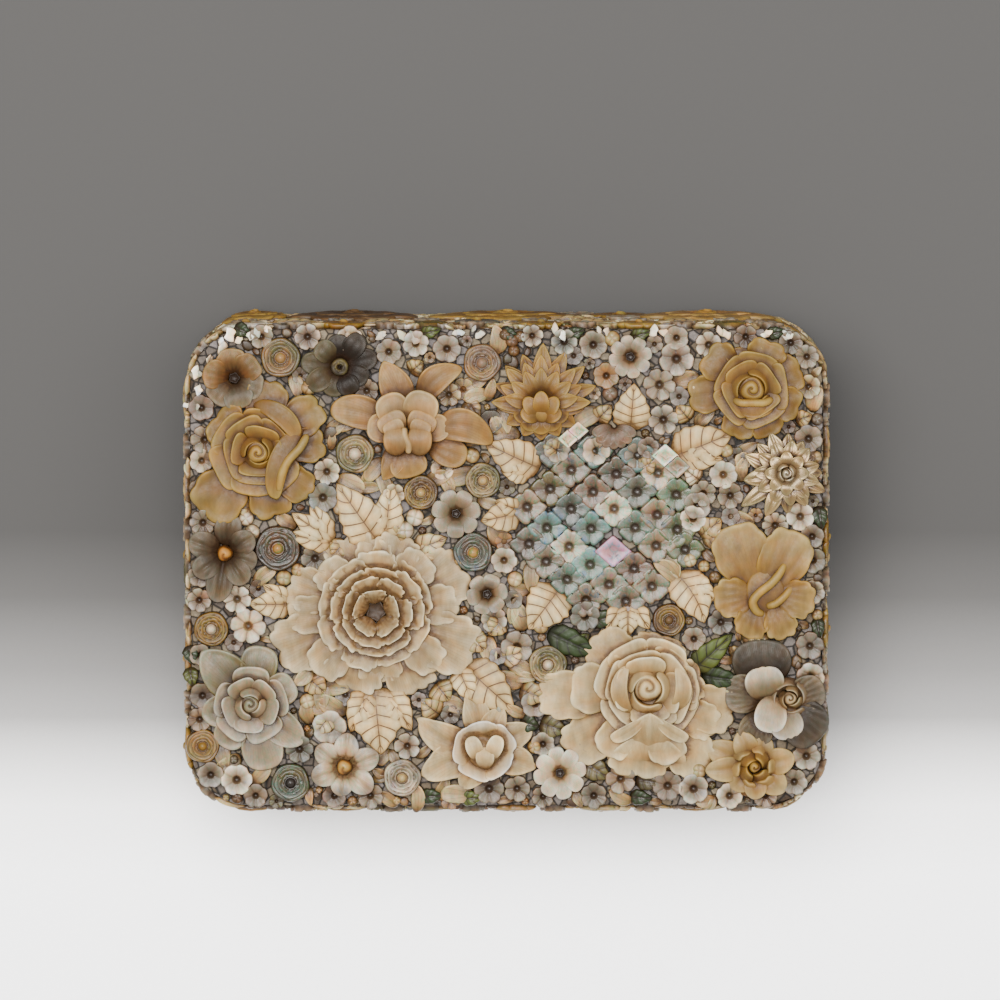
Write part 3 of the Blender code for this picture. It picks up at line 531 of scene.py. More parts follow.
CHRYSANTHEMUM = ((157, 46, 18), (190, 44, 19), (217, 57, 17), (245, 49, 17), (272, 42, 16), (302, 40, 16),
    (334, 44, 17), (0, 36, 17), (34, 36, 16), (62, 36, 16), (87, 40, 16), (112, 44, 18), (135, 42, 16))
DAFFODIL = ((156, 54, 30), (115, 40, 26), (72, 35, 24), (15, 41, 28), (320, 39, 28), (270, 33, 24),
    (222, 33, 26), (184, 51, 26))
COSMOS_LEFT = ((82, 41, 28), (30, 34, 26), (340, 34, 26), (304, 38, 26), (260, 51, 28), (216, 38, 26),
    (160, 38, 28))
COSMOS_FRONT = ((144, 35, 25), (84, 35, 25), (20, 37, 25), (318, 37, 25), (262, 30, 23), (200, 35, 25))


def stroke(c, start, end, width, **look):
    """A petal from one grid place to another."""
    x0, y0 = at(*start)
    x1, y1 = at(*end)
    petal(c, x0, y0, math.degrees(math.atan2(y1 - y0, x1 - x0)), math.hypot(x1 - x0, y1 - y0), width,
        **look)


def ridge(c, spots, width, z, tone, n=9, stations=28):
    """A round-backed ridge along a smooth curve. A spot is its column, row and share of the height."""
    given = np.array([(*at(column, row), share) for column, row, share in spots])
    t = np.linspace(0, len(given) - 1, stations)
    weights = np.exp(-0.5 * ((t[:, None] - np.arange(len(given))) / 0.55) ** 2)
    path = weights @ given / weights.sum(1)[:, None]
    ahead = np.gradient(path[:, :2], axis=0)
    ahead /= np.linalg.norm(ahead, axis=1)[:, None] + 1e-9
    s = np.linspace(0, 1, stations)
    half = 0.5 * width * np.sqrt(np.clip(1 - (2 * s - 1) ** 6, 0.004, 1))
    around = np.linspace(0, 2 * math.pi, 2 * n, endpoint=False)
    side = np.cos(around)[None, :] * half[:, None]
    high = z * path[:, 2:3] + np.sin(around)[None, :] * half[:, None] * STEP / MM * 0.8
    points = np.stack((path[:, :1] - side * ahead[:, 1:2], path[:, 1:2] + side * ahead[:, :1], high), -1)
    points = points * np.array((STEP, STEP, MM))
    number = np.arange(stations * 2 * n).reshape(stations, 2 * n)
    turned = np.roll(number, -1, axis=1)
    quads = np.stack((number[:-1], number[1:], turned[1:], turned[:-1]), -1).reshape(-1, 4)
    fans = [(row[0], row[k], row[k + 1]) if first else (row[0], row[k + 1], row[k]) for first,
        row in ((True, number[0]), (False, number[-1])) for k in range(1, 2 * n - 1)]
    # Painted light on the top of the ridge, painted shade and stain along its underside
    light = 0.80 + 0.30 * np.clip(np.sin(around), -0.6, 1)[None, :] + 0 * side
    stain = 0.9 * smooth(0.3, -0.5, np.sin(around))[None, :] + 0 * side
    c.add(points, shade(tone, light).reshape(-1, 3), stain, quads, fans)


def lathe_hole(c, x, y, radius, depth):
    """A star-shaped dish coloured near black, painted shade that stands for a deep hollow."""
    angles = np.linspace(0, 2 * math.pi, 40, endpoint=False)
    share = np.array([0.3, 0.6, 0.8, 1.0])[:, None]
    radii = radius * share * (1 + 0.12 * np.cos(5 * angles))[None, :]
    heights = depth + 0.5 * share ** 3 + 0 * angles
    lathe(c, x, y, angles, radii, heights, shade(DARK, 0.6 + 0 * heights), 1.0 + 0 * heights,
        (depth, DARK, 1.0))


# What the two amber roses share
DEEP_AMBER = mixed(AMBER, DARK, 0.12)
DEEP_HONEY = mixed(AMBER_PALE, DARK, 0.14)
ROSE_PETALS = dict(tone=DEEP_AMBER, base_stain=1.0, grooves=(3, 0.08), scallop=(7, 0.045), notch=0.05,
    rim=0.3, tip=0.33, lines=(16, 0.25), dome=0.0, curl=0.35)
ROSE_CUPS = dict(tone=DEEP_AMBER, tip_tone=DEEP_HONEY, tip=0.31, rim=0.30, base_stain=0.95, dome=0.0,
    curl=0.22, thick=0.55, lines=(14, 0.15), scallop=(4, 0.03))
ROSE_FOLD = dict(tone=DEEP_AMBER, tip_tone=DEEP_HONEY, n=21, dome=0.2, rim=0.3, base_stain=0.3, tip=0.33,
    narrow=0.40)


def carve_rose_left(c):
    """Large amber rose with a furled bud and a folded petal in front."""
    spot = (258, 451)
    olive = mixed(DEEP_HONEY, OLIVE, 0.3)
    look = dict(ROSE_PETALS, tip_tone=mixed(DEEP_AMBER, olive, 0.8), n=25, ruffle=(5, 0.26))
    fan(c, *spot, ROSE_LEFT, 24, (0.7, 2.0, 1.3), **look)
    frilled_ring(c, spot, 6, 12, 45, 47, (1.4, 2.3, 2.6), 20, n=23, ruffle=(3, 0.14), **ROSE_CUPS)
    frilled_ring(c, spot, 5, 9, 35, 41, (1.9, 2.8, 3.2), 52, n=21, ruffle=(3, 0.12), **ROSE_CUPS)
    frilled_ring(c, spot, 4, 7, 25, 34, (2.3, 3.2, 3.8), 80, n=19, ruffle=(2, 0.10), **ROSE_CUPS)
    whorl(c, *spot, 3, 140, 9, 18, 2.9, 4.3, turn=10, tone=mixed(DEEP_AMBER, DEEP_HONEY, 0.5), n=17,
        base_stain=0.5)
    bud(c, *at(*spot), 11, 3.3, 4.5, DEEP_HONEY, turns=1.3, depth=0.35, turn=1.0)
    stroke(c, (254, 402), (300, 438), 20, z=(2.0, 3.4, 2.8), bow=0.14, **ROSE_FOLD)
    stroke(c, (302, 424), (274, 498), 22, z=(2.4, 4.0, 3.0), bow=-0.10, **ROSE_FOLD)
    ridge(c, ((309, 430, 0.8), (302, 446, 1.0), (288, 458, 1.0), (281, 474, 1.0), (279, 494, 0.8)), 9, 3.9,
        DEEP_HONEY)


def carve_rose_right(c):
    """Amber rose near the right end."""
    spot = (751, 388)
    olive = mixed(DEEP_HONEY, OLIVE, 0.2)
    look = dict(ROSE_PETALS, tip_tone=mixed(DEEP_AMBER, olive, 0.7), n=23, ruffle=(5, 0.24))
    fan(c, *spot, ROSE_RIGHT, 20, (0.7, 2.0, 1.3), **look)
    frilled_ring(c, spot, 5, 10, 37, 45, (1.5, 2.4, 2.7), -60, n=23, ruffle=(3, 0.14), **ROSE_CUPS)
    frilled_ring(c, spot, 4, 7, 28, 38, (2.0, 2.9, 3.4), 30, n=21, ruffle=(2, 0.12), **ROSE_CUPS)
    whorl(c, *spot, 3, 140, 11, 22, 2.3, 3.8, turn=30, tone=mixed(DEEP_AMBER, DEEP_HONEY, 0.4), n=17,
        base_stain=0.5)
    bud(c, *at(*spot), 13, 2.8, 4.1, mixed(DEEP_AMBER, DEEP_HONEY, 0.6), turns=1.5, depth=0.35, turn=2.0)
    stroke(c, (729, 402), (775, 403), 18, z=(2.2, 3.5, 2.4), bow=-0.12, **ROSE_FOLD)
    ridge(c, ((730, 397, 0.7), (740, 402, 1.0), (752, 401, 1.0), (764, 402, 1.0), (774, 396, 0.7)), 8, 3.7,
        DEEP_HONEY)


def frilled_ring(c, spot, count, root, reach, width, z, turn, **look):
    """Upright frilled petals about the heart of the peony, their rims highest."""
    for k in range(count):
        direction = turn + 360 * k / count + draw.uniform(-8, 8)
        own = dict(look, tone=vary(look["tone"], 0.06))
        lift = draw.uniform(-0.12, 0.12)
        petal(c, *at(*spot), direction, reach * draw.uniform(0.93, 1.06), width * draw.uniform(0.92, 1.1),
            root=root, z=(z[0], z[1] + lift, z[2] + lift), **own)


def carve_peony(c):
    """The largest flower: frilled whorls about an open heart, over wide scalloped petals."""
    spot = (376, 611)
    tone = mixed(CREAM, PEARL, 0.42)
    look = dict(tone=tone, tip_tone=mixed(IVORY, PEARL, 0.20), rim=0.36, base_stain=1.2, lines=(26, 0.5),
        dome=0.0, thick=0.6, curl=0.3)
    fan(c, *spot, PEONY_OUTER, 34, (0.5, 1.8, 0.9), n=29, scallop=(11, 0.05), ruffle=(7, 0.24), notch=0.06,
        grooves=(6, 0.16), tip=0.30, **look)
    fan(c, *spot, PEONY_INNER, 34, (1.0, 2.2, 1.5), n=23, scallop=(9, 0.05), ruffle=(6, 0.22),
        grooves=(4, 0.14), tip=0.32, **look)
    frill = dict(look, scallop=(11, 0.055), ruffle=(7, 0.24), grooves=(3, 0.12), tip=0.28)
    frilled_ring(c, spot, 9, 22, 60, 40, (1.4, 2.1, 2.6), 12, n=23, **frill)
    frilled_ring(c, spot, 8, 16, 47, 36, (1.9, 2.6, 3.4), 35, n=23, **frill)
    frilled_ring(c, spot, 7, 11, 35, 30, (2.3, 3.1, 4.1), 5, n=21, **frill)
    frilled_ring(c, spot, 5, 8, 23, 24, (2.5, 3.7, 4.5), 18, n=19, **frill)
    lathe_hole(c, *at(*spot), 10, 1.3)


def carve_camellia(c):
    """Full cream flower whose front petal folds to a point."""
    tone = mixed(CREAM, AMBER_PALE, 0.12)
    look = dict(tone=tone, tip_tone=IVORY, ruffle=(6, 0.2), rim=0.32, base_stain=1.0, dome=0.0,
        lines=(18, 0.25), curl=0.34, grooves=(3, 0.08))
    fan(c, 646, 696, CAMELLIA, 30, (0.6, 1.9, 1.1), n=27, scallop=(11, 0.045), notch=0.05, tip=0.32,
        **look)
    fan(c, 646, 696, CAMELLIA_INNER, 26, (1.3, 2.4, 2.1), n=23, scallop=(7, 0.04), tip=0.34, **look)
    cups = dict(tone=tone, tip_tone=IVORY, tip=0.30, rim=0.32, base_stain=0.95, dome=0.0, curl=0.22,
        thick=0.55, lines=(16, 0.2), scallop=(5, 0.03))
    heart = (648, 690)
    frilled_ring(c, heart, 7, 15, 52, 47, (1.6, 2.4, 2.7), 10, n=23, ruffle=(4, 0.15), **cups)
    frilled_ring(c, heart, 6, 12, 42, 43, (2.1, 2.9, 3.4), 40, n=21, ruffle=(3, 0.14), **cups)
    frilled_ring(c, heart, 4, 8, 33, 42, (2.4, 3.3, 3.9), 0, n=21, ruffle=(2, 0.10), **cups)
    whorl(c, *heart, 3, 140, 12, 23, 3.0, 4.3, turn=0, tone=mixed(tone, IVORY, 0.4), n=19, base_stain=0.5)
    bud(c, *at(648, 687), 14, 3.3, 4.4, mixed(tone, IVORY, 0.4), turns=1.5, depth=0.35, turn=0.5)
    pale = mixed(tone, IVORY, 0.7)
    wing = dict(tone=tone, tip_tone=pale, n=21, dome=0.3, rim=0.36, base_stain=0.9, tip=0.35, narrow=0.45,
        z=(2.2, 4.0, 3.2))
    stroke(c, (634, 718), (626, 664), 17, bow=0.20, **wing)
    stroke(c, (668, 716), (678, 666), 17, bow=-0.20, **wing)
    hood = dict(tone=pale, tip=0.75, narrow=0.30, base_stain=0.5, rim=0.36, n=27, ruffle=(2, 0.12))
    stroke(c, (648, 772), (649, 732), 78, z=(1.0, 2.4, 2.8), dome=0.4, **hood)
    stroke(c, (648, 752), (650, 712), 52, z=(1.8, 3.2, 4.2), fold=-0.4, dome=0.6, curl=0.3, **hood)
    lip = dict(tone=pale, n=21, dome=0.15, rim=0.36, base_stain=0.0, tip=0.30, narrow=0.70,
        z=(4.2, 3.7, 2.7), fold=0.1)
    stroke(c, (650, 712), (611, 740), 14, bow=0.06, **lip)
    stroke(c, (650, 712), (688, 740), 14, bow=-0.06, **lip)


def carve_orchid(c):
    """Peach flower with a two-lobed ball at its heart."""
    pale = mixed(PEACH, CREAM, 0.35)
    look = dict(tone=mixed(PEACH, AMBER, 0.15), tip_tone=mixed(PEACH, AMBER_PALE, 0.6), n=23, rim=0.28,
        base_stain=0.9, lines=(22, 0.5), grooves=(4, 0.12), dome=0.15, curl=0.35, ruffle=(3, 0.15))
    stroke(c, (402, 410), (387, 359), 34, z=(1.2, 2.2, 1.5), tip=0.75, bow=-0.04, bend=0.06, **look)
    stroke(c, (420, 404), (462, 366), 28, z=(1.2, 2.7, 1.6), tip=0.62, bow=0.16, **look)
    stroke(c, (392, 424), (331, 407), 34, z=(1.2, 2.5, 1.6), tip=0.45, bow=-0.07, **look)
    stroke(c, (432, 430), (494, 430), 34, z=(1.6, 3.4, 1.4), tip=0.50, bow=0.14, bend=-0.14, **look)
    stroke(c, (428, 444), (467, 457), 30, z=(1.0, 2.3, 1.6), tip=0.4, **look)
    stroke(c, (404, 446), (412, 477), 38, z=(1.0, 2.2, 1.5), tip=0.36, **look)
    stroke(c, (396, 446), (383, 480), 24, z=(1.0, 2.1, 1.3), tip=0.9, bow=0.08, **look)
    cup = dict(tone=pale, n=21, rim=0.3, base_stain=1.0, dome=0.1, curl=0.4, lines=(20, 0.25))
    lobes(c, ((384, 427, 17, 30, 170), (434, 427, 16, 28, 14)), (1.5, 2.7, 2.4), **cup)
    lobes(c, ((394, 410, 19, 34, 112), (420, 408, 19, 36, 70)), (1.6, 3.1, 2.9), **cup)
    for x, direction in ((397, 118), (418, 66)):
        petal(c, *at(x, 430), direction, 21, 30, z=(2.4, 3.5, 3.2), root=-6, tip=0.3,
            tone=mixed(pale, PEACH, 0.4), n=19, rim=0.3, base_stain=0.5, curl=0.2)
        petal(c, *at(x, 432), direction, 15, 22, z=(2.8, 3.9, 3.6), root=-6, tip=0.3, tone=pale, n=17,
            rim=0.3, base_stain=0.5, curl=0.2)
    for x, y, width, height in ((396, 438, 25, 4.4), (420, 438, 25, 4.3)):
        petal(c, *at(x, y), 90, 17, width, z=(2.8, height, 2.8), root=-17, tip=0.5, dome=0.3, curl=0.0,
            tone=mixed(pale, PEACH, 0.5), tip_tone=pale, n=21, rim=0.1, base_stain=0.3, lines=(12, 0.25),
            grooves=(3, 0.05))
    ridge(c, ((405, 424, 0.9), (404, 434, 1.0), (410, 442, 1.0), (408, 454, 0.9)), 7, 4.1, pale)


def carve_lotus(c):
    """Amber lotus with pointed petals and a half-ball heart."""
    tone = mixed(AMBER, PEACH, 0.2)
    look = dict(tip_tone=AMBER_PALE, narrow=0.55, rim=0.34, fold=0.2, base_stain=1.0, dome=0.15, n=17)
    fan(c, 541, 402, LOTUS, 8, (0.8, 1.8, 1.1), tone=tone, tip=0.85, grooves=(2, 0.08), **look)
    for k in range(9):
        petal(c, *at(541, 403), 2 + 22 * k, 50 - 5 * (k % 2), 18, z=(1.4, 2.6, 1.9), root=8, tip=0.85,
            tone=vary(tone), **look)
    for k in range(7):
        petal(c, *at(541, 404), 12 + 26 * k, 38, 16, z=(1.8, 3.3, 2.6), root=8, tip=0.8, tone=vary(tone),
            **look)
    for k in range(5):
        petal(c, *at(541, 404), 206 + 32 * k, 30, 20, z=(1.4, 2.6, 1.9), root=8, tip=0.5, tone=vary(tone),
            **look)
    bud(c, *at(541, 407), 15, 2.0, 3.6, tone, turns=0.6, depth=0.2, turn=3.6)
    for direction, reach, high in ((20, 22, 3.5), (160, 22, 3.5), (52, 27, 3.8), (128, 27, 3.8),
            (90, 28, 4.2)):
        petal(c, *at(541, 417), direction, reach, 17, z=(2.4, high, high - 0.5), tip=0.55,
            tone=vary(AMBER), n=17, rim=0.34, tip_tone=AMBER_PALE, dome=0.2, base_stain=0.8)


def carve_hibiscus(c):
    """Open amber flower with a curved ridge of stamens."""
    look = dict(tone=mixed(AMBER, AMBER_PALE, 0.5), tip_tone=mixed(AMBER_PALE, CREAM, 0.35),
        ruffle=(6, 0.18), grooves=(5, 0.12), rim=0.28, base_stain=0.8, dome=0.0, lines=(18, 0.30))
    lobes(c, ((744, 558, 36, 56, 112), (782, 562, 34, 52, 62)), (1.3, 2.3, 1.8), n=29, scallop=(9, 0.03),
        tip=0.32, **look)
    lobes(c, ((734, 597, 21, 40, 190), (796, 598, 19, 40, 348), (752, 621, 18, 34, 252),
        (780, 621, 18, 34, 288)), (1.6, 2.6, 1.6), n=23, scallop=(9, 0.06), **look)
    petal(c, *at(766, 594), 100, 26, 40, z=(1.6, 2.3, 1.9), root=-24, tip=0.5, tone=AMBER, n=19,
        base_stain=0.0, rim=0.0, curl=0.0)
    warm = mixed(AMBER, AMBER_PALE, 0.6)
    ridge(c, ((786, 560, 0.8), (780, 573, 0.9), (770, 584, 1.0), (758, 592, 1.0), (751, 601, 1.0),
        (756, 612, 0.9), (766, 614, 0.8)), 9, 2.7, warm)
    ridge(c, ((764, 606, 0.8), (776, 604, 1.0), (786, 594, 1.0), (794, 584, 0.8)), 8, 2.4, warm)


def carve_chrysanthemum(c):
    """Pearly flower of narrow pointed petals."""
    fan(c, 786, 472, CHRYSANTHEMUM, 10, (0.7, 1.9, 1.2), tone=GILT, tip_tone=mixed(GILT, CREAM, 0.5),
        tip=0.8, rim=0.3, n=17, dome=0.45, fold=0.3, base_stain=1.1)
    for k in range(11):
        petal(c, *at(786, 472), 33 * k + 14, 34, 16, z=(1.4, 2.8, 2.0), root=8, tip=0.75, tone=vary(GILT),
            n=15, fold=0.25, rim=0.3, base_stain=1.1)
    for k in range(8):
        petal(c, *at(786, 472), 45 * k, 23, 14, z=(2.0, 3.4, 2.8), root=4, tip=0.65, tone=vary(GILT), n=13,
            rim=0.3, base_stain=1.0)
    whorl(c, 786, 472, 4, 120, 4, 14, 2.4, 3.8, turn=20, tone=mixed(GILT, WHITE, 0.3), tilt=0.25, n=15)
    bud(c, *at(786, 472), 6, 2.6, 3.8, mixed(GILT, WHITE, 0.35), turns=1.0, depth=0.25)


def carve_gardenia(c):
    """Grey-green double flower with a furled heart."""
    olive = mixed(OLIVE, SMOKE, 0.15)
    pale = mixed(PEARL, OLIVE, 0.28)
    look = dict(rim=0.3, n=23, ruffle=(3, 0.10), base_stain=1.0, lines=(22, 0.5), dome=0.05, curl=0.34,
        grooves=(3, 0.08))
    for start, end, width, tip, tone in (((248, 698), (201, 651), 46, 0.7, olive),
            ((254, 690), (262, 646), 38, 0.34, olive), ((264, 700), (294, 682), 34, 0.36,
            mixed(olive, pale, 0.5)), ((258, 712), (303, 744), 36, 0.6, pale),
            ((256, 716), (266, 771), 42, 0.36, pale), ((242, 714), (222, 748), 34, 0.4, pale),
            ((242, 706), (201, 716), 34, 0.55, mixed(olive, pale, 0.4))):
        stroke(c, start, end, width, z=(0.9, 2.0, 1.5), tip=tip, tone=tone,
            tip_tone=mixed(tone, WHITE, 0.30), **look)
    cups = dict(tip_tone=mixed(pale, WHITE, 0.35), tip=0.31, rim=0.3, base_stain=1.2, dome=0.0, curl=0.25,
        thick=0.5, lines=(18, 0.35))
    frilled_ring(c, (250, 706), 5, 8, 39, 38, (1.2, 2.2, 2.4), 15, n=21, tone=mixed(olive, pale, 0.5),
        ruffle=(2, 0.15), **cups)
    frilled_ring(c, (250, 705), 5, 6, 28, 30, (1.7, 2.7, 3.2), 50, n=19, tone=pale, ruffle=(2, 0.12),
        **cups)
    whorl(c, 250, 704, 3, 130, 7, 17, 2.5, 3.8, turn=80, tone=mixed(pale, WHITE, 0.3), n=17,
        base_stain=0.6)
    bud(c, *at(250, 704), 9, 2.9, 4.1, mixed(pale, olive, 0.3), turns=1.2, depth=0.35)


def carve_lily(c):
    """Pale lily with pointed petals and two round lobes."""
    tone = mixed(CREAM, IVORY, 0.6)
    look = dict(tone=tone, tip_tone=IVORY, rim=0.3, n=23, dome=0.15, base_stain=1.0, lines=(18, 0.45),
        scallop=(5, 0.04), ruffle=(4, 0.12), grooves=(3, 0.08))
    for start, end, width, bow in (((480, 744), (468, 690), 29, -0.06), ((478, 748), (417, 720), 34, 0.10),
            ((478, 756), (422, 778), 38, -0.08), ((482, 760), (462, 790), 28, 0.0),
            ((492, 758), (536, 768), 32, 0.05), ((492, 746), (532, 728), 32, 0.0),
            ((488, 744), (503, 706), 26, 0.05)):
        stroke(c, start, end, width, z=(1.0, 2.1, 1.2), tip=0.7, bow=bow, fold=0.15, **look)
    frilled_ring(c, (484, 752), 5, 8, 31, 36, (1.4, 2.4, 2.7), 30, n=21, tone=tone, tip_tone=WHITE,
        tip=0.40, rim=0.34, base_stain=1.0, dome=0.0, curl=0.3, ruffle=(3, 0.18), scallop=(5, 0.05),
        lines=(18, 0.4))
    bud(c, *at(484, 752), 17, 2.0, 3.3, tone, turns=1.0, depth=0.2)
    lobes(c, ((475, 749, 14, 17, 112), (494, 748, 14, 17, 68), (485, 758, 12, 19, 90)), (2.6, 4.0, 3.5),
        tone=IVORY, n=19, dome=0.4, rim=0.36, base_stain=1.0)


def carve_daffodil(c):
    """Amber and cream flower with a slit bud."""
    tone = mixed(AMBER_PALE, CREAM, 0.35)
    fan(c, 756, 768, DAFFODIL, 8, (0.7, 2.1, 1.4), tone=tone, tip_tone=CREAM, tip=0.62, rim=0.28, n=19,
        fold=0.25, curl=0.15, base_stain=1.0)
    whorl(c, 755, 768, 6, 70, 11, 29, 1.2, 3.0, turn=0, tone=tone, frill=(2, 0.8), tilt=0.55, n=17)
    whorl(c, 755, 768, 4, 110, 5, 18, 2.0, 3.8, turn=30, tone=mixed(AMBER, AMBER_PALE, 0.5), tilt=0.55,
        n=15)
    bud(c, *at(755, 767), 6, 2.6, 3.9, AMBER_PALE, turns=0.7, depth=0.35)


def carve_magnolia(c):
    """Dark and pale ribbed shells round a small spiral."""
    dusky = mixed(SMOKE, DARK, 0.5)
    pale = mixed(PEARL, OLIVE, 0.3)
    look = dict(n=25, rim=0.3, base_stain=1.0)
    ribs = dict(lines=(30, 1.0), grooves=(7, 0.26))
    lobes(c, ((762, 664, 25, 60, 92), (803, 722, 25, 50, 318)), (0.9, 2.4, 1.8), tone=dusky,
        tip_tone=mixed(SMOKE, GREY, 0.3), **ribs, **look)
    lobes(c, ((745, 694, 20, 40, 172), (806, 694, 20, 36, 22), (757, 729, 18, 36, 250)), (1.0, 2.2, 1.6),
        tone=mixed(pale, SMOKE, 0.5), tip_tone=GREY, **ribs, **look)
    lobes(c, ((765, 684, 18, 40, 100), (786, 722, 18, 34, 290)), (1.6, 2.8, 2.2), tone=pale,
        tip_tone=WHITE, **look)
    lobes(c, ((771, 714, 19, 33, 262),), (2.2, 3.3, 2.8), tone=mixed(WHITE, PEARL, 0.2), dome=0.4,
        lines=(10, 0.3), **look)
    whorl(c, 790, 698, 4, 100, 12, 22, 1.8, 3.2, turn=10, tone=PEARL, n=17)
    whorl(c, 790, 698, 3, 130, 6, 13, 2.4, 3.8, turn=60, tone=mixed(PEARL, CREAM, 0.4), n=15)
    bud(c, *at(790, 698), 7, 2.6, 4.0, mixed(PEARL, CREAM, 0.4), turns=1.2, depth=0.4)


def carve_cosmos_left(c):
    """Grey striated flower with an orange button."""
    fan(c, 225, 552, COSMOS_LEFT, 6, (0.7, 2.1, 1.7), tone=mixed(SMOKE, GREY, 0.4),
        tip_tone=mixed(PEARL, GREY, 0.6), grooves=(4, 0.13), curl=0.2, n=21, dome=0.4, fold=0.3, rim=0.3,
        lines=(22, 0.6), base_stain=1.0, tip=0.5)
    bud(c, *at(225, 553), 8, 1.4, 3.2, (0.20, 0.085, 0.016), turns=0.4, depth=0.2)


def carve_cosmos_front(c):
    """White flower with grey tips and a gold button."""
    fan(c, 344, 768, COSMOS_FRONT, 6, (0.7, 2.0, 1.6), tone=WHITE, tip_tone=mixed(GREY, PEARL, 0.3),
        fold=0.3, grooves=(4, 0.10), curl=0.15, n=21, dome=0.4, rim=0.3, lines=(16, 0.5), base_stain=1.0,
        tip=0.55)
    bud(c, *at(344, 768), 8, 1.4, 3.0, (0.20, 0.105, 0.022), turns=0.4, depth=0.2)


def carve_striped(c):
    """Small flower, brown above and grey below, with a dark eye."""
    for k, direction in enumerate((96, 40, 340, 285, 228, 165)):
        tone = mixed(BROWN, PEACH, 0.35) if 20 < direction < 170 else GREY
        petal(c, *at(234, 378), direction, 31, 30, z=(0.8, 2.1 + 0.25 * (k % 2), 1.9), root=4,
            tone=vary(tone, 0.12), grooves=(4, 0.12), n=19, tip_tone=mixed(tone, CREAM, 0.2), rim=0.3,
            lines=(18, 0.7), base_stain=1.1, scallop=(5, 0.04))
    lathe_hole(c, *at(235, 377), 5, 1.6)


def carve_dark_flower(c):
    """Grey and olive ray flower with a ringed eye."""
    for k in range(9):
        direction = 14 + 40 * k
        reach = 39 if direction < 60 or 150 < direction < 230 else 32
        tone = DARK if direction < 110 or direction > 290 else mixed(SMOKE, OLIVE, 0.3)
        petal(c, *at(340, 365), direction, reach, 23, z=(0.8, 1.9 + 0.3 * (k % 2), 1.6), root=6, tip=0.42,
            tone=vary(tone, 0.2), grooves=(3, 0.12), n=17, tip_tone=mixed(tone, GREY, 0.22), rim=0.3,
            lines=(24, 0.9), base_stain=1.0)
    rosette(c, *at(340, 366), 9, (SMOKE, OLIVE), height=3.0, rings=14, count=32, lines=2, bead_tone=DARK)


def carve_round(c, column, row, radius, petals, tone, height=2.6, **look):
    """A round scalloped flower of shell with a drilled eye."""
    x, y = at(column, row)
    for k in range(petals):
        petal(c, x, y, 360 * k / petals + 11, radius, 5.0 * radius / petals, root=3, tip=0.34,
            z=(0.6, 0.66 * height + 0.2 * (k % 2), 0.62 * height), tone=vary(tone, 0.08), n=15, rim=0.3,
            lines=(14, 0.5), base_stain=1.1, curl=0.15, tip_tone=mixed(tone, WHITE, 0.3), **look)
    lathe_hole(c, x, y, 4, 1.2)


ROSETTES = (
    ("rosette_peach", 281, 357, 20, PEACH, OLIVE, 6, PEACH), ("rosette_rose", 482, 362, 19, PEACH, ROSE, 6,
    ROSE), ("rosette_olive", 355, 453, 19.5, OLIVE, CREAM, 6, WHITE),
    ("rosette_honey", 421, 492, 17.5, AMBER_PALE, BROWN, 5, CREAM), ("rosette_straw", 483, 480, 18, CREAM,
    OLIVE, 5, CREAM), ("rosette_night", 278, 548, 23, SMOKE, BROWN, 6, (0.17, 0.11, 0.03)),
    ("rosette_sea", 473, 552, 20, TEAL, mixed(BROWN, GREY, 0.5), 6, (0.19, 0.12, 0.035)),
    ("rosette_amber", 211, 629, 17.5, AMBER, AMBER_PALE, 5, WHITE), ("rosette_corner", 202, 747, 17,
    AMBER_PALE, PEACH, 5, AMBER), ("rosette_green", 290, 784, 19.5, TEAL, OLIVE, 6, DARK),
    ("rosette_white", 402, 779, 19, WHITE, PEARL, 5, CREAM), ("rosette_fern", 548, 665, 19.5, CREAM, OLIVE,
    5, WHITE), ("rosette_brown", 669, 620, 16.5, BROWN, AMBER_PALE, 5, BROWN),
)

# Leaves of each node: start column and row, tip column and row, width, then what differs.
LEAVES = {
    "leaf_tall": ((382, 547, 336, 482, 46, dict(veins=7)), (384, 545, 392, 480, 34,
    dict(veins=7, z=(1.0, 1.6, 0.9)))), "leaf_fan_upper": ((334, 541, 291, 512, 26, {}),
    (334, 543, 287, 533, 24, dict(veins=4)), (330, 536, 310, 502, 22, dict(veins=4))),
    "leaf_fan_lower": ((292, 604, 248, 604, 30, {}), (290, 600, 262, 584, 18, dict(veins=3))),
    "leaf_west": ((540, 468, 484, 442, 40, dict(veins=6)), (530, 474, 500, 470, 22, {})),
    "leaf_inner": ((520, 512, 480, 521, 32, {}), (520, 510, 494, 500, 20, dict(veins=4))),
    "leaf_north": ((630, 430, 634, 382, 38, dict(veins=6)),), "leaf_east":
    ((673, 456, 733, 432, 46, dict(veins=6)), (680, 458, 724, 458, 24, dict(veins=4))),
    "leaf_south_east": ((676, 573, 705, 624, 42, dict(veins=6, bend=0.08)), (690, 575, 716, 602, 22, {})),
    "leaf_south_west": ((560, 588, 528, 630, 46, dict(veins=6)),), "leaf_three":
    ((628, 604, 628, 638, 26, {}), (622, 606, 606, 630, 20, dict(veins=3)),
    (634, 606, 650, 630, 20, dict(veins=3))), "leaf_broad": ((464, 666, 515, 712, 46, dict(veins=6)),
    (458, 668, 474, 704, 26, {})), "leaf_hanging": ((374, 688, 381, 757, 56, dict(veins=7)),
    (368, 690, 350, 734, 30, dict(veins=5)), (386, 690, 412, 732, 30, dict(veins=5))),
    "green_leaf_dark": ((548, 632, 600, 656, 28, dict(tone=GREEN)),),
    "green_leaf_light": ((692, 671, 734, 633, 26, dict(tone=GREEN_PALE)),),
    "green_leaf_round": ((702, 676, 744, 681, 22, dict(tone=GREEN)),),
}

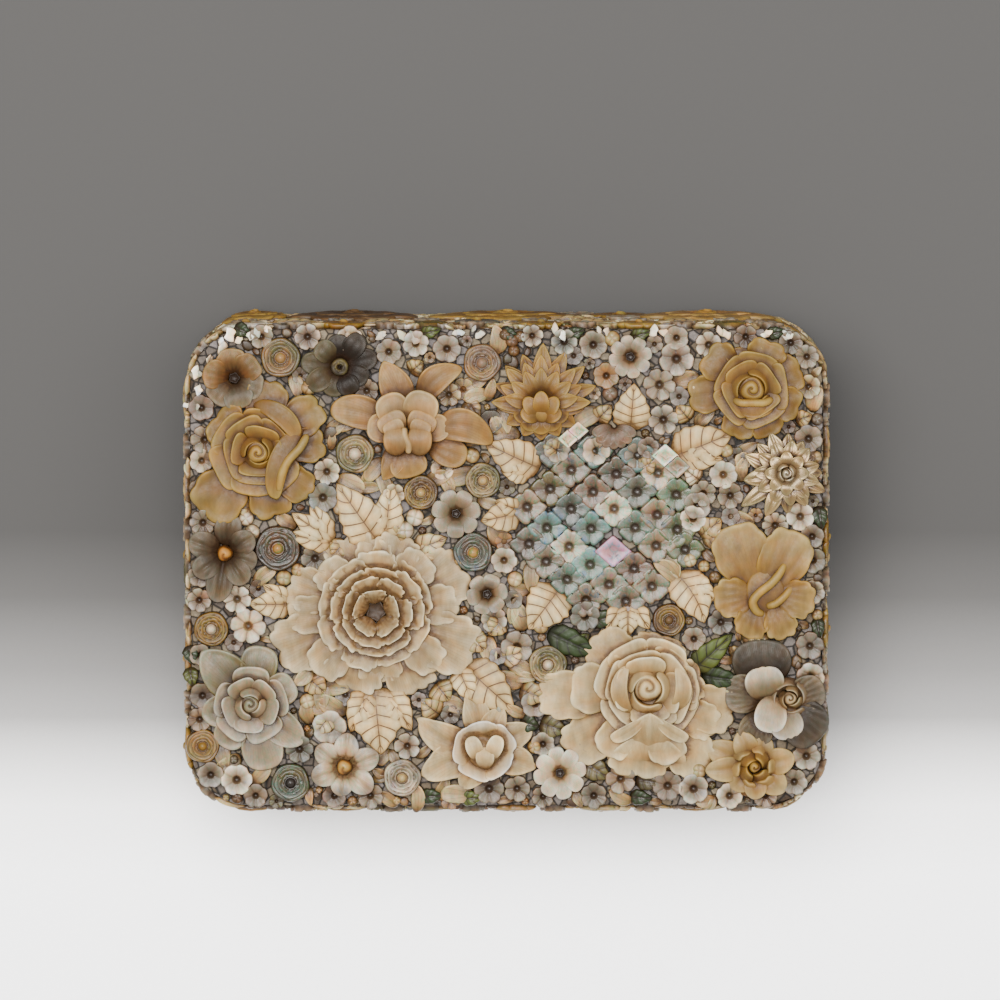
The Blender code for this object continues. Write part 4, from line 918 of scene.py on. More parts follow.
# Loose leaves that belong to the bed
LOOSE_LEAVES = (
    (414, 550, 448, 537, 22, IVORY), (414, 552, 440, 556, 18, IVORY), (502, 620, 488, 636, 20, CREAM),
    (436, 684, 450, 702, 24, CREAM), (308, 678, 326, 694, 22, CREAM), (410, 372, 424, 360, 18, CREAM),
    (700, 536, 722, 518, 24, CREAM), (702, 538, 730, 534, 20, IVORY), (590, 622, 622, 614, 16, GREEN),
    (540, 724, 568, 732, 22, OLIVE), (586, 764, 610, 780, 22, OLIVE),
    (636, 780, 664, 785, 18, mixed(OLIVE, DARK, 0.5)), (520, 722, 540, 728, 18, GREEN),
    (235, 326, 252, 334, 14, GREEN), (420, 334, 442, 328, 12, GREEN_PALE), (500, 330, 520, 337, 12, GREEN),
    (566, 336, 586, 328, 12, GREEN), (630, 337, 652, 330, 12, GREEN_PALE), (765, 334, 786, 330, 12, GREEN),
    (188, 646, 194, 666, 14, GREEN), (189, 668, 193, 688, 14, GREEN_PALE), (818, 506, 822, 530, 14, GREEN),
    (817, 618, 820, 640, 12, GREEN), (420, 798, 444, 797, 14, GREEN), (460, 800, 484, 799, 14, GREEN_PALE),
    (630, 798, 654, 800, 14, GREEN), (570, 648, 590, 634, 16, GREEN_PALE), (560, 452, 542, 440, 18, CREAM),
    (700, 480, 684, 468, 18, WHITE), (640, 470, 656, 458, 18, CREAM), (470, 636, 486, 652, 22, CREAM),
    (500, 660, 526, 650, 20, IVORY), (520, 690, 548, 700, 22, CREAM), (440, 716, 420, 700, 22, CREAM),
    (330, 716, 314, 736, 20, IVORY), (392, 540, 408, 520, 18, CREAM), (345, 540, 330, 560, 18, CREAM),
    (254, 508, 234, 504, 18, IVORY), (216, 508, 232, 524, 14, CREAM), (466, 400, 480, 420, 18, CREAM),
    (480, 430, 466, 446, 18, IVORY), (596, 420, 612, 404, 18, CREAM), (690, 420, 676, 404, 18, CREAM),
    (690, 398, 704, 380, 14, IVORY), (795, 420, 812, 414, 16, CREAM), (742, 640, 762, 632, 18, IVORY),
    (730, 656, 744, 648, 14, CREAM), (600, 700, 622, 690, 14, CREAM),
)

# Drilled florets of the bed: column, row, radius, lobes, tone
FLORETS = (
    (676, 358, 17, 8, ROSE), (659, 384, 16, 7, PEARL), (394, 494, 11, 6, IVORY), (494, 620, 13, 6, PEARL),
    (202, 407, 13, 6, ROSE), (205, 439, 14, 6, PEARL), (203, 490, 14, 6, GREY), (203, 522, 13, 8, PEARL),
    (327, 471, 13, 6, WHITE), (323, 497, 15, 6, TEAL), (315, 558, 14, 6, PEARL), (237, 599, 14, 5, WHITE),
    (248, 626, 17.5, 6, WHITE), (389, 351, 13, 6, PEARL), (416, 343, 13, 6, WHITE),
    (447, 348, 14, 6, PEARL), (449, 394, 12, 6, IVORY), (367, 390, 12, 6, PEARL), (593, 344, 14, 6, PEARL),
    (564, 341, 13, 6, TEAL), (606, 375, 13, 6, PEACH), (663, 419, 15, 8, PEARL), (708, 344, 13, 6, WHITE),
    (806, 356, 12, 7, PEARL), (808, 386, 12, 6, IVORY), (808, 438, 14, 7, PEARL), (723, 474, 14, 6, WHITE),
    (730, 495, 13, 8, PEARL), (703, 493, 13, 6, PEARL), (775, 525, 13, 8, PEARL), (800, 516, 14, 6, WHITE),
    (813, 592, 12, 6, PEARL), (810, 646, 14, 6, GREY), (811, 677, 14, 6, WHITE), (721, 622, 13, 6, GREY),
    (694, 639, 12, 6, PEARL), (504, 560, 13, 6, WHITE), (585, 616, 15, 6, TEAL), (517, 647, 16, 6, PEARL),
    (202, 696, 13, 6, GREY), (210, 776, 13, 6, PEARL), (236, 781, 15.5, 6, WHITE), (299, 750, 14, 6, TEAL),
    (329, 728, 17, 5, WHITE), (407, 747, 13, 5, PEARL), (490, 715, 12, 6, PEARL), (535, 704, 14, 8, PEARL),
    (489, 790, 15, 6, GREY), (517, 790, 13, 6, PEARL), (594, 797, 13, 6, GREY), (621, 780, 15, 6, PEARL),
    (668, 787, 15, 7, GREY), (694, 790, 15, 8, PEARL), (807, 757, 14, 7, PEARL), (557, 449, 13, 6, PEARL),
    (596, 450, 14, 6, WHITE), (637, 455, 13, 6, PEARL), (648, 447, 11, 6, ROSE), (697, 505, 14, 4, PEARL),
    (693, 518, 13, 4, WHITE), (350, 338, 13, 6, WHITE), (308, 336, 13, 6, ROSE), (262, 336, 12, 6, PEARL),
    (532, 335, 11, 6, PEARL), (745, 336, 12, 6, ROSE), (790, 342, 12, 6, GREY), (676, 337, 12, 6, PEARL),
    (202, 460, 12, 6, WHITE), (370, 797, 13, 6, PEARL), (334, 797, 12, 6, ROSE), (255, 797, 12, 6, GREY),
    (543, 798, 11, 6, PEARL), (730, 797, 13, 6, WHITE), (766, 797, 12, 6, ROSE), (795, 783, 13, 6, PEARL),
    (811, 728, 11, 6, PEARL), (813, 700, 11, 6, ROSE), (813, 560, 13, 6, TEAL), (812, 536, 12, 6, PEARL),
    (812, 474, 10, 6, ROSE), (200, 575, 12, 6, PEARL), (199, 600, 12, 6, ROSE), (200, 655, 11, 6, PEARL),
    (199, 720, 12, 6, PEARL), (566, 700, 12, 6, ROSE), (543, 745, 12, 6, PEARL), (590, 742, 11, 6, PEARL),
    (616, 752, 11, 6, IVORY),
)

# Beads of the bed: column, row, radius, tone
BEADS = (
    (309, 387, 8, CREAM), (341, 508, 8, IVORY), (284, 578, 8, CREAM), (252, 532, 8, WHITE),
    (246, 518, 8, WHITE), (298, 570, 7, CREAM), (515, 579, 8, IVORY), (541, 626, 8, CREAM),
    (472, 455, 8, CREAM), (307, 702, 8, IVORY), (470, 686, 8, CREAM), (534, 748, 7, CREAM),
    (815, 457, 7, IVORY), (699, 772, 8, CREAM), (610, 393, 8, ROSE), (612, 338, 8, CREAM),
    (756, 733, 8, CREAM), (730, 692, 7, IVORY), (762, 640, 8, CREAM), (782, 685, 7, WHITE),
    (405, 530, 9, WHITE), (415, 517, 9, WHITE), (726, 450, 7, CREAM), (512, 340, 7, BROWN),
    (505, 334, 6, BROWN), (520, 336, 6, BROWN), (514, 350, 6, BROWN), (460, 560, 6, CREAM),
    (690, 560, 7, IVORY), (704, 566, 6, CREAM),
)

# Tiles of the lozenge mosaic: column, row, tone
TILES = (
    (571, 469, PEARL), (616, 473, GREY), (658, 472, WHITE), (550, 488, OLIVE), (593, 491, ROSE),
    (637, 491, TEAL), (676, 494, MOSS), (527, 506, PEARL), (571, 508, TEAL), (614, 508, WHITE),
    (657, 514, PEARL), (547, 527, SKY), (591, 528, SKY), (635, 527, TEAL), (677, 529, MOSS),
    (529, 543, GREY), (569, 546, WHITE), (656, 545, PEARL), (685, 549, MOSS), (546, 561, PEARL),
    (590, 564, SKY), (634, 568, ROSE), (567, 579, TEAL), (609, 584, PEARL), (652, 586, PEARL),
    (586, 600, PEARL), (626, 601, GREY), (593, 450, SKY), (637, 454, SKY), (552, 450, GREY),
)
PLAIN_TILES = ((613, 551, 19, (0.22, 0.12, 0.19)), (578, 430, 11, WHITE), (568, 438, 11, WHITE),
    (665, 455, 14, WHITE), (677, 466, 14, PEARL))


TILE_HALF_X = 23.5
TILE_HALF_Y = 21.5


def tile(c, x, y, half_x, half_y, tone, height=1.5, carved=1.0):
    """A lozenge tile, cut as a small flower with a drilled eye or left plain."""
    angles = np.linspace(0, 2 * math.pi, 50, endpoint=False)
    outline = 1 / (np.abs(np.cos(angles)) / half_x + np.abs(np.sin(angles)) / half_y)
    petals = draw.choice((4, 5, 5, 6))
    arch = np.abs(np.cos(0.5 * petals * (angles - draw.uniform(0, 6.28))))
    gap = carved * (1 - arch) ** 5
    outline = outline * (1 - 0.20 * carved * (1 - arch) ** 3)
    outline = outline * (1 - 0.10 * carved * np.abs(np.cos(2 * angles)) ** 16)
    share = np.array([0.15, 0.21, 0.28, 0.38, 0.50, 0.66, 0.82, 0.94, 1.0])[:, None]
    radii = outline[None, :] * share ** 0.9
    radii[:3] = share[:3] * 0.5 * (half_x + half_y)
    cup = smooth(0.15, 0.8, share)
    heights = 0.5 + (height - 0.5) * (0.74 + 0.26 * cup) - 0.22 * gap[None, :] * smooth(0.15, 0.4, share)
    heights[0] -= 0.8 * carved
    heights[-1] -= 0.3
    lift = np.array([draw.uniform(-0.15, 0.15) for _ in range(petals)])
    which = (petals * angles / (2 * math.pi)).astype(int) % petals
    # Stain and painted shade in the gaps and round the eye; painted light on the lifted petals and on plain
    # tiles
    stain = 0.8 * gap[None, :] * smooth(0.15, 0.4, share)
    stain = stain + 1.2 * carved * np.exp(-((share - 0.15) / 0.09) ** 2)
    stain = stain + 1.0 * share ** 20
    light = (0.66 + 0.42 * cup) * (1 + lift[which][None, :]) * (1 - 0.2 * gap[None, :]) + 0.2 * (1 -
        carved)
    lathe(c, x, y, angles, radii, heights, shade(tone, light), stain + 0 * heights,
        (heights[0, 0], mixed(tone, DARK, carved), carved), (15 * angles[None, :] / (2 * math.pi),
        0.3 * carved + 0 * heights, 1.0))


def carve_tiles(c):
    """The lozenge mosaic, darker and more iridescent at its top."""
    for column, row, tone in TILES:
        dim = 0.62 + 0.36 * smooth(470, 590, row)
        tile(c, *at(column, row), TILE_HALF_X, TILE_HALF_Y, vary(tuple(dim * v for v in tone), 0.25))
    for column, row, half, tone in PLAIN_TILES:
        tile(c, *at(column, row), half, 0.88 * half, vary(tone, 0.05), height=1.75, carved=0.0)


class Heights:
    """How high the ornament stands over a flat layout, in mm."""

    def __init__(self, half_x, half_y, pitch=1.0):
        self.half_x, self.half_y, self.pitch = half_x, half_y, pitch
        self.map = np.zeros((int(2 * half_x / pitch) + 3, int(2 * half_y / pitch) + 3))

    def cells(self, x, y):
        i = np.clip(((np.asarray(x) + self.half_x) / self.pitch).astype(int) + 1, 0, self.map.shape[0] - 1)
        j = np.clip(((np.asarray(y) + self.half_y) / self.pitch).astype(int) + 1, 0, self.map.shape[1] - 1)
        return i, j

    def press(self, carving):
        """Raises the map to a carving's points."""
        points = np.concatenate(carving.points)
        i, j = self.cells(points[:, 0] / STEP, points[:, 1] / STEP)
        fresh = np.zeros_like(self.map)
        np.maximum.at(fresh, (i, j), points[:, 2] / MM)
        grown = fresh.copy()
        for _ in range(2):
            for di, dj in ((1, 0), (-1, 0), (0, 1), (0, -1)):
                grown = np.maximum(grown, np.roll(grown, (di, dj), (0, 1)))
        self.map = np.maximum(self.map, grown)

    def soft(self, reach):
        """The map, blurred over a reach in steps."""
        out = self.map.copy()
        span = np.arange(-int(2 * reach / self.pitch), int(2 * reach / self.pitch) + 1)
        weights = np.exp(-0.5 * (span * self.pitch / reach) ** 2)
        weights /= weights.sum()
        for axis in (0, 1):
            out = sum(w * np.roll(out, k, axis) for k, w in zip(span, weights))
        return out

    def shade_by_depth(self, carvings, share=1.0):
        """Adds stain and painted shade to what lies deeper than the ornament round it, and a painted
        highlight to what stands above it.
        """
        grown = self.map.copy()
        for di, dj in ((1, 0), (-1, 0), (0, 1), (0, -1)):
            grown = np.maximum(grown, np.roll(self.map, (di, dj), (0, 1)))
        sharp, self.map = self.map, grown
        close, near, wide = self.soft(1.8), self.soft(5), self.soft(16)
        self.map = sharp
        for carving in carvings:
            carving.join()
            points = carving.points[0]
            i, j = self.cells(points[:, 0] / STEP, points[:, 1] / STEP)
            z = points[:, 2] / MM
            # Painted shade, added to the stain, where a point lies below the ornament round it
            deep = 0.85 * smooth(0.22, 0.95, close[i, j] - z) + 0.50 * smooth(0.15, 1.1, near[i, j] - z)
            deep = deep + 0.35 * smooth(0.4, 2.2, wide[i, j] - z)
            carving.stains[0] = carving.stains[0] + share * deep
            # A painted highlight on what stands above the ornament round it, painted shade on what lies
            # lower
            crest = smooth(-0.3, 0.5, z - near[i, j])
            carving.tones[0] = shade(carving.tones[0], 0.80 + 0.42 * crest)


GROUND_TONES = (CREAM, IVORY, CREAM, PEARL, PEARL, WHITE, LAVENDER, LAVENDER, PEACH, GREY, GREY, OLIVE,
    BROWN)


def fill(c, heights, inside, tries, sizes, level, ceiling, kinds):
    """Small ornament strewn where nothing stands yet."""
    taken = np.zeros_like(heights.map, bool)
    pitch = heights.pitch
    for _ in range(tries):
        x = draw.uniform(-heights.half_x, heights.half_x)
        y = draw.uniform(-heights.half_y, heights.half_y)
        radius = draw.uniform(*sizes)
        if not inside(x, y, radius):
            continue
        i, j = heights.cells(x, y)
        if taken[i, j]:
            continue
        reach = max(1, int(0.6 * radius / pitch))
        patch = heights.map[max(i - reach, 0):i + reach + 1, max(j - reach, 0):j + reach + 1]
        if np.median(patch) > ceiling:
            continue
        own = max(1, int(0.72 * radius / pitch))
        taken[max(i - own, 0):i + own + 1, max(j - own, 0):j + own + 1] = True
        z = level + draw.uniform(-0.12, 0.2) + 0.35 * float(np.median(patch))
        kind = draw.choice(kinds)
        tone = vary(draw.choice(GROUND_TONES), 0.16)
        if kind == "floret":
            floret(c, x, y, radius, draw.choice((5, 6, 6)), height=z + 0.35, tone=tone, detail=5, rings=6,
                base=max(0.1, z - 0.4), hole=0.20)
        elif kind == "bead":
            bead(c, x, y, 0.72 * radius, tone, height=z + 0.35)
        elif kind == "leaf":
            petal(c, x, y, draw.uniform(0, 360), 1.5 * radius, draw.uniform(1.2, 1.7) * radius,
                root=-1.2 * radius, tip=draw.uniform(0.4, 0.9), z=(z - 0.3, z + 0.25, z), n=9,
                tone=vary(draw.choice((CREAM, IVORY)), 0.15), fold=0.2, thick=0.4,
                bow=draw.uniform(-0.12, 0.12), lines=(7, 0.7), rim=0.3)
        else:
            chip(c, x, y, radius, tone, z, squash=draw.uniform(0.55, 0.95), dome=0.12)


def shard(c, x, y, radius, tone, height, corners=4, lean=0.4):
    """A flat angular piece of bright shell."""
    turn = draw.uniform(0, 6.28)
    angles = np.linspace(0, 2 * math.pi, 4 * corners, endpoint=False) + turn
    wedge = math.pi / corners
    outline = math.cos(wedge) / np.cos((angles - turn) % (2 * wedge) - wedge)
    share = np.array([0.5, 0.93, 1.0])[:, None]
    slope = draw.uniform(-lean, lean) * np.cos(angles)[None, :] * share
    heights = height - np.array([0, 0, 0.25])[:, None] + slope
    outline = outline * (1 + 0.28 * np.cos(2 * (angles - turn) + draw.uniform(0, 6)))
    lathe(c, x, y, angles, radius * share * outline[None, :], heights, shade(tone, 1 + 0 * heights),
        0.5 * share ** 20 + 0 * heights, (height, tone, 0.0))


# White angular pieces of shell let in along the top edge and its left corner, some painted bright as glints
# of light: column, row, radius
GLINT_SHARDS = ((197, 372, 9), (220, 345, 9), (235, 336, 9), (197, 388, 8), (205, 358, 8), (212, 368, 6),
    (255, 335, 8), (268, 331, 6), (345, 334, 8), (385, 333, 8), (408, 335, 8), (460, 335, 8),
    (474, 331, 6), (560, 331, 7), (600, 333, 7), (660, 332, 7), (720, 333, 8), (765, 335, 8),
    (783, 335, 6), (194, 404, 6))


def carve_fan(c, column, row):
    """A small ribbed fan of brown shell, opening downwards."""
    x, y = at(column, row)
    for k in range(7):
        petal(c, x, y + 9, 200 + 23 * k, 24, 12, z=(1.2, 2.0, 1.7), root=2,
            tone=vary(mixed(ROSE, BROWN, 0.35), 0.1), n=13, tip=0.5, rim=0.3, lines=(20, 0.6))


def carve_lid_bed():
    """Everything small on the lid."""
    c = Carving()
    for column, row, radius, petals, tone in FLORETS:
        floret(c, *at(column, row), 1.08 * radius, draw.choice((5, 6, petals)), height=1.75,
            tone=vary(mixed(tone, draw.choice((GREY, GREY, LAVENDER, PEARL, SMOKE, tone)), 0.5), 0.2),
            lobes=0.24, tip_tone=mixed(tone, draw.choice((LAVENDER, PEARL, ROSE, WHITE)), 0.4), detail=6,
            rings=7)
    for column, row, radius, tone in BEADS:
        bead(c, *at(column, row), radius, tone, height=1.9)
    for x0, y0, x1, y1, width, tone in LOOSE_LEAVES:
        leaf(c, *at(x0, y0), *at(x1, y1), 1.15 * width, n=19, veins=4, tone=vary(tone, 0.08),
            z=(0.7, 1.5, 0.9))
    # Some of these pieces get the painted glint white
    for column, row, radius in GLINT_SHARDS:
        for _ in range(2):
            shard(c, *at(column + draw.uniform(-7, 7), row + draw.uniform(-4, 4)),
                radius * draw.uniform(0.5, 0.85), vary(draw.choice((GLINT_WHITE, WHITE)), 0.3),
                1.4 + draw.uniform(0, 0.3), draw.choice((4, 4, 5)))
    carve_fan(c, 614, 434)
    return c


def lid_inside(x, y, radius):
    """True inside the rounded edge of the lid's face."""
    half_x, half_y, corner = HALF_X / STEP, HALF_Y / STEP, CORNER / STEP
    dx = max(abs(x) + 0.6 * radius - (half_x - corner), 0)
    dy = max(abs(y) + 0.6 * radius - (half_y - corner), 0)
    return math.hypot(dx, dy) < corner


# The faces round the box as one long strip, unrolled from the middle of the front.
FLAT_X = HALF_X - CORNER
FLAT_Y = HALF_Y - CORNER
BEND = math.pi / 2 * CORNER
ROUND = 4 * (FLAT_X + FLAT_Y + BEND)
SIDE_START = {"front": 0.0, "right": FLAT_X + BEND + FLAT_Y, "back": 2 * (FLAT_X + BEND + FLAT_Y),
    "left": 3 * (FLAT_X + BEND + FLAT_Y)}


def wrap(points, middle):
    """Bends a strip of ornament round the box at a height."""
    place = ((points[:, 0] + ROUND / 2) % ROUND - ROUND / 2) % ROUND
    out = points[:, 2]
    x, y = np.zeros(len(place)), np.zeros(len(place))
    corners = ((FLAT_X, -FLAT_Y), (FLAT_X, FLAT_Y), (-FLAT_X, FLAT_Y), (-FLAT_X, -FLAT_Y))
    begins = ((0.0, -HALF_Y), (HALF_X, -FLAT_Y), (FLAT_X, HALF_Y), (-HALF_X, FLAT_Y), (-FLAT_X, -HALF_Y))
    lengths = (FLAT_X, BEND, 2 * FLAT_Y, BEND, 2 * FLAT_X, BEND, 2 * FLAT_Y, BEND, FLAT_X)
    ends = np.cumsum(lengths)
    for k, (length, end) in enumerate(zip(lengths, ends)):
        start = end - length
        here = (place >= start) & ((place < end) | (k == len(lengths) - 1))
        along = place[here] - start
        if k % 2:
            angle = math.pi / 2 * (k // 2 - 1) + along / CORNER
            x[here] = corners[k // 2][0] + (CORNER + out[here]) * np.cos(angle)
            y[here] = corners[k // 2][1] + (CORNER + out[here]) * np.sin(angle)
        else:
            angle = math.pi / 2 * (k // 2)
            x[here] = begins[k // 2][0] + along * math.cos(angle) + out[here] * math.sin(angle)
            y[here] = begins[k // 2][1] + along * math.sin(angle) - out[here] * math.cos(angle)
    return np.stack((x, y, middle + points[:, 1]), -1)


def side_blossom(c, x, y, tones, reach_x, reach_y, heart=15):
    """A flower in relief on a side, wider than it is high."""
    for k in range(9):
        direction = 40 * k + 10
        a = math.radians(direction)
        reach = 1 / math.hypot(math.cos(a) / reach_x, math.sin(a) / reach_y)
        petal(c, x, y, direction, reach, 42, z=(0.4, 1.3, 1.0), root=heart * 0.6, tone=vary(tones[0]),
            curl=0.2, tip_tone=tones[1], grooves=(5, 0.08), ruffle=(3, 0.1), n=13, dome=0.3, rim=0.2)
    for k in range(7):
        direction = 51 * k + 30
        a = math.radians(direction)
        reach = 0.66 / math.hypot(math.cos(a) / reach_x, math.sin(a) / reach_y)
        petal(c, x, y, direction, reach, 32, z=(0.9, 1.7, 1.5), root=heart * 0.5, tone=vary(tones[0]),
            curl=0.2, tip_tone=tones[1], grooves=(4, 0.06), n=13, dome=0.2, rim=0.2)
    for k in range(4):
        arc_petal(c, x, y, 90 * k + 20, 115, 0.5 * heart, 1.25 * heart, 1.1, 2.0, tone=vary(tones[1]),
            tilt=0.25, n=11, curl=0.2)
    bud(c, x, y, 0.72 * heart, 1.2, 2.4, tones[1], turns=1.3, depth=0.35)


SIDE_BLOSSOMS = (
    ("side_bud_back", "back", -0.403, 30, 40, 9, (AMBER, AMBER_PALE)),
    ("side_camellia_back", "back", -0.245, 68, 49, 14, (mixed(BROWN, DARK, 0.6), BROWN)),
    ("side_peony_back", "back", 0.0, 82, 50, 17, (AMBER, AMBER_PALE)),
    ("side_rose_back", "back", 0.32, 72, 50, 15, (PEACH, AMBER_PALE)),
    ("side_rose_front", "front", -0.20, 62, 48, 15, (CREAM, IVORY)),
    ("side_lotus_front", "front", 0.20, 62, 48, 15, (AMBER, AMBER_PALE)),
    ("side_rose_left", "left", 0.0, 62, 48, 15, (AMBER, AMBER_PALE)),
    ("side_rose_right", "right", 0.0, 62, 48, 15, (PEACH, CREAM)),
)
TRAY_MIDDLE = (PLINTH + SEAM) / 2
LID_MIDDLE = (LID_RIM + BED_TOP) / 2
TRAY_HALF = (SEAM - PLINTH) / 2 / STEP
LID_HALF = (BED_TOP - LID_RIM) / 2 / STEP
LID_SPACING = 46
TRAY_SPACING = 52


def side_spot(side, share):
    """Place along the strip of a share of a side's length."""
    length = 2 * (HALF_X if side in ("front", "back") else HALF_Y)
    sign = -1 if side in ("back", "left") else 1
    u = SIDE_START[side] + sign * share * length
    return ((u + ROUND / 2) % ROUND - ROUND / 2) / STEP


def carve_band(half, spacing, blossoms):
    """The ornament of one band round the box."""
    c = Carving(deep=True)
    x = -ROUND / 2 / STEP + 30
    k = 0
    while x < ROUND / 2 / STEP - 20:
        row = 0.42 * half * (1 if k % 2 else -1)
        near = any(abs(x - place) < reach + 12 for place, reach in blossoms)
        kind = k % 5
        tone = vary(draw.choice((CREAM, AMBER, PEARL, WHITE, PEACH, GREY, AMBER_PALE)))
        if not near:
            if kind in (0, 3):
                size = 0.62 * half
                for m in range(6):
                    petal(c, x, row, 60 * m + 15, size, 0.95 * size, z=(0.4, 1.1, 0.9), root=3, tone=tone,
                        n=9, grooves=(6, 0.1), scallop=(5, 0.03), dome=0.25, curl=0.15)
                bud(c, x, row, 0.26 * size, 0.8, 1.7, vary(AMBER_PALE), turns=0.8, count=16, rings=7)
            elif kind == 1:
                rosette(c, x, row, 0.48 * half, (tone, OLIVE), height=1.5, rings=13, count=28, lines=4)
            else:
                leaf(c, x - 24, row - 12, x + 26, row + 10, 30, n=11, z=(0.5, 1.2, 0.7), tone=vary(CREAM))
            floret(c, x + draw.uniform(-8, 8), -row * 1.35, 0.36 * half, 6, height=1.4,
                tone=vary(PEARL, 0.2), detail=5, rings=6)
        x += spacing * draw.uniform(0.9, 1.1)
        k += 1
    return c


class Graph:
    """The nodes of one material."""

    def __init__(self, name):
        self.material = bpy.data.materials.new(name)
        self.material.use_nodes = True
        self.nodes, self.links = self.material.node_tree.nodes, self.material.node_tree.links
        self.shader = self.nodes["Principled BSDF"]
        self.place = self.put("TexCoord").outputs["Object"]

    def feed(self, node, inputs):
        """Sets inputs that are plain values, and links those that are sockets."""
        for key, value in inputs.items():
            if hasattr(value, "is_linked"):
                self.links.new(value, node.inputs[key])
            else:
                node.inputs[key].default_value = value

    def put(self, kind, inputs=None, **settings):
        node = self.nodes.new("ShaderNode" + kind)
        for key, value in settings.items():
            setattr(node, key, value)
        self.feed(node, inputs or {})
        return node

    def attribute(self, name):
        return self.put("Attribute", attribute_name=name)

    def noise(self, scale, detail=4.0, rough=0.55, stretch=None):
        """A noise over the piece, its size set per metre."""
        place = self.place
        if stretch:
            place = self.put("Mapping", {"Vector": place, "Scale": stretch}).outputs["Vector"]
        look = {"Vector": place, "Scale": scale, "Detail": detail, "Roughness": rough}
        return self.put("TexNoise", look).outputs["Fac"]

    def ramp(self, value, stops):
        """Colours along a value, each stop a place and a colour or one grey."""
        node = self.put("ValToRGB", {"Fac": value})
        elements = node.color_ramp.elements
        while len(elements) < len(stops):
            elements.new(0.5)
        for element, (place, colour) in zip(elements, stops):
            element.position = place
            element.color = (*colour, 1.0) if isinstance(colour, tuple) else (colour, colour, colour, 1.0)
        return node.outputs["Color"]

    def blend(self, kind, factor, a, b):
        """Mixes two colours, with a plain number or a socket as the factor."""
        a, b = ((*value, 1.0) if isinstance(value, tuple) else value for value in (a, b))
        return self.put("Mix", {"Factor": factor, "A": a, "B": b}, data_type="RGBA", blend_type=kind,
            clamp_factor=True).outputs["Result"]

    def math(self, kind, a, b):
        return self.put("Math", {0: a, 1: b}, operation=kind, use_clamp=True).outputs[0]

    def between(self, value, low, high):
        """Rises smoothly from 0 to 1 as the value goes from low to high."""
        return self.put("MapRange", {"Value": value, "From Min": low, "From Max": high},
            interpolation_type="SMOOTHSTEP").outputs["Result"]

    def finish(self, colour, bump=None, **values):
        """Feeds the shader with a colour, plain values and a bump given as height, strength and distance."""
        self.feed(self.shader, {"Base Color": colour})
        self.feed(self.shader, {key.replace("_", " "): value for key, value in values.items()})
        if bump:
            node = self.put("Bump", dict(zip(("Height", "Strength", "Distance"), bump)))
            self.feed(self.shader, {"Normal": node.outputs["Normal"]})
        return self.material


def engraved(g):
    """Fine cut lines, from the running line number, its strength and the distance from a midrib."""
    split = g.put("SeparateXYZ", {0: g.attribute("veins").outputs["Vector"]}).outputs
    part = g.put("Math", {0: split["X"], 1: 0.5}, operation="PINGPONG").outputs[0]
    cut = g.math("MULTIPLY", g.between(part, 0.39, 0.48), split["Y"])
    rib = g.between(split["Z"], 0.95, 0.35)
    return g.math("MAXIMUM", cut, g.math("MULTIPLY", rib, 0.9))


# The play of colour in pearl shell
PEARL_HUES = ((0.30, (1.0, 0.52, 0.64)), (0.37, (1.0, 0.84, 0.66)), (0.46, (0.96, 0.86, 0.76)),
    (0.50, (0.36, 0.95, 0.74)), (0.54, (1.0, 0.88, 0.74)), (0.61, (0.92, 0.84, 0.84)),
    (0.66, (0.32, 0.64, 1.0)), (0.74, (1.0, 0.58, 0.92)))
STREAKS = ((0.35, (0.62, 0.54, 0.44)), (0.65, (1.15, 1.12, 1.05)))
DRIFT = ((0.35, (1.08, 0.97, 0.84)), (0.50, (1.0, 1.0, 1.0)), (0.65, (0.90, 0.96, 1.04)))
# The warm brown that stain and painted shade multiply into the colour
STAIN_AND_SHADE_TINT = (0.62, 0.43, 0.25)


def carved_material(name, gloss, streak, shine=0.5, coat=0.0, pearl=0.0, metallic=0.0,
        stain_and_shade_tone=(0.012, 0.0062, 0.0035)):
    """Carved shell or antler, stained brown and given painted shade in its recesses."""
    g = Graph(name)
    stain = g.attribute("stain").outputs["Fac"]
    grain = g.noise(1500.0, 5.0, 0.65)
    lines = g.noise(700.0, 4.0, 0.6, (1.0, 0.28, 0.6))
    colour = g.attribute("tone").outputs["Color"]
    colour = g.blend("MULTIPLY", 1.0, colour, g.ramp(g.noise(190.0), ((0.3, 0.72), (0.7, 1.08))))
    colour = g.blend("MULTIPLY", streak, colour, g.ramp(lines, STREAKS))
    colour = g.blend("MULTIPLY", 1.0, colour, g.ramp(g.noise(330.0, 2.0), DRIFT))
    if pearl:
        hues = g.ramp(g.noise(420.0, 3.0, 0.6, (1.0, 0.7, 0.8)), PEARL_HUES)
        colour = g.blend("MULTIPLY", pearl, colour, hues)
    line = engraved(g)
    uneven = g.ramp(grain, ((0.30, 0.65), (0.75, 1.0)))
    # The stain and painted shade, with the cut lines, turn the colour brown and then near black
    amount = g.math("MAXIMUM", g.math("MULTIPLY", stain, uneven), line)
    colour = g.blend("MULTIPLY", amount, colour, STAIN_AND_SHADE_TINT)
    colour = g.blend("MIX", g.math("MULTIPLY", amount, amount), colour, stain_and_shade_tone)
    fine = g.math("ADD", g.math("MULTIPLY", grain, 0.3), g.math("MULTIPLY", lines, 0.3))
    height = g.math("SUBTRACT", fine, g.math("MULTIPLY", line, 0.5))
    rough = g.ramp(grain, ((0.3, gloss - 0.10), (0.7, gloss + 0.14)))
    return g.finish(colour, (height, 0.35, 0.00012), Roughness=rough, Specular_IOR_Level=shine,
        Coat_Weight=coat, Coat_Roughness=0.25, Metallic=metallic)


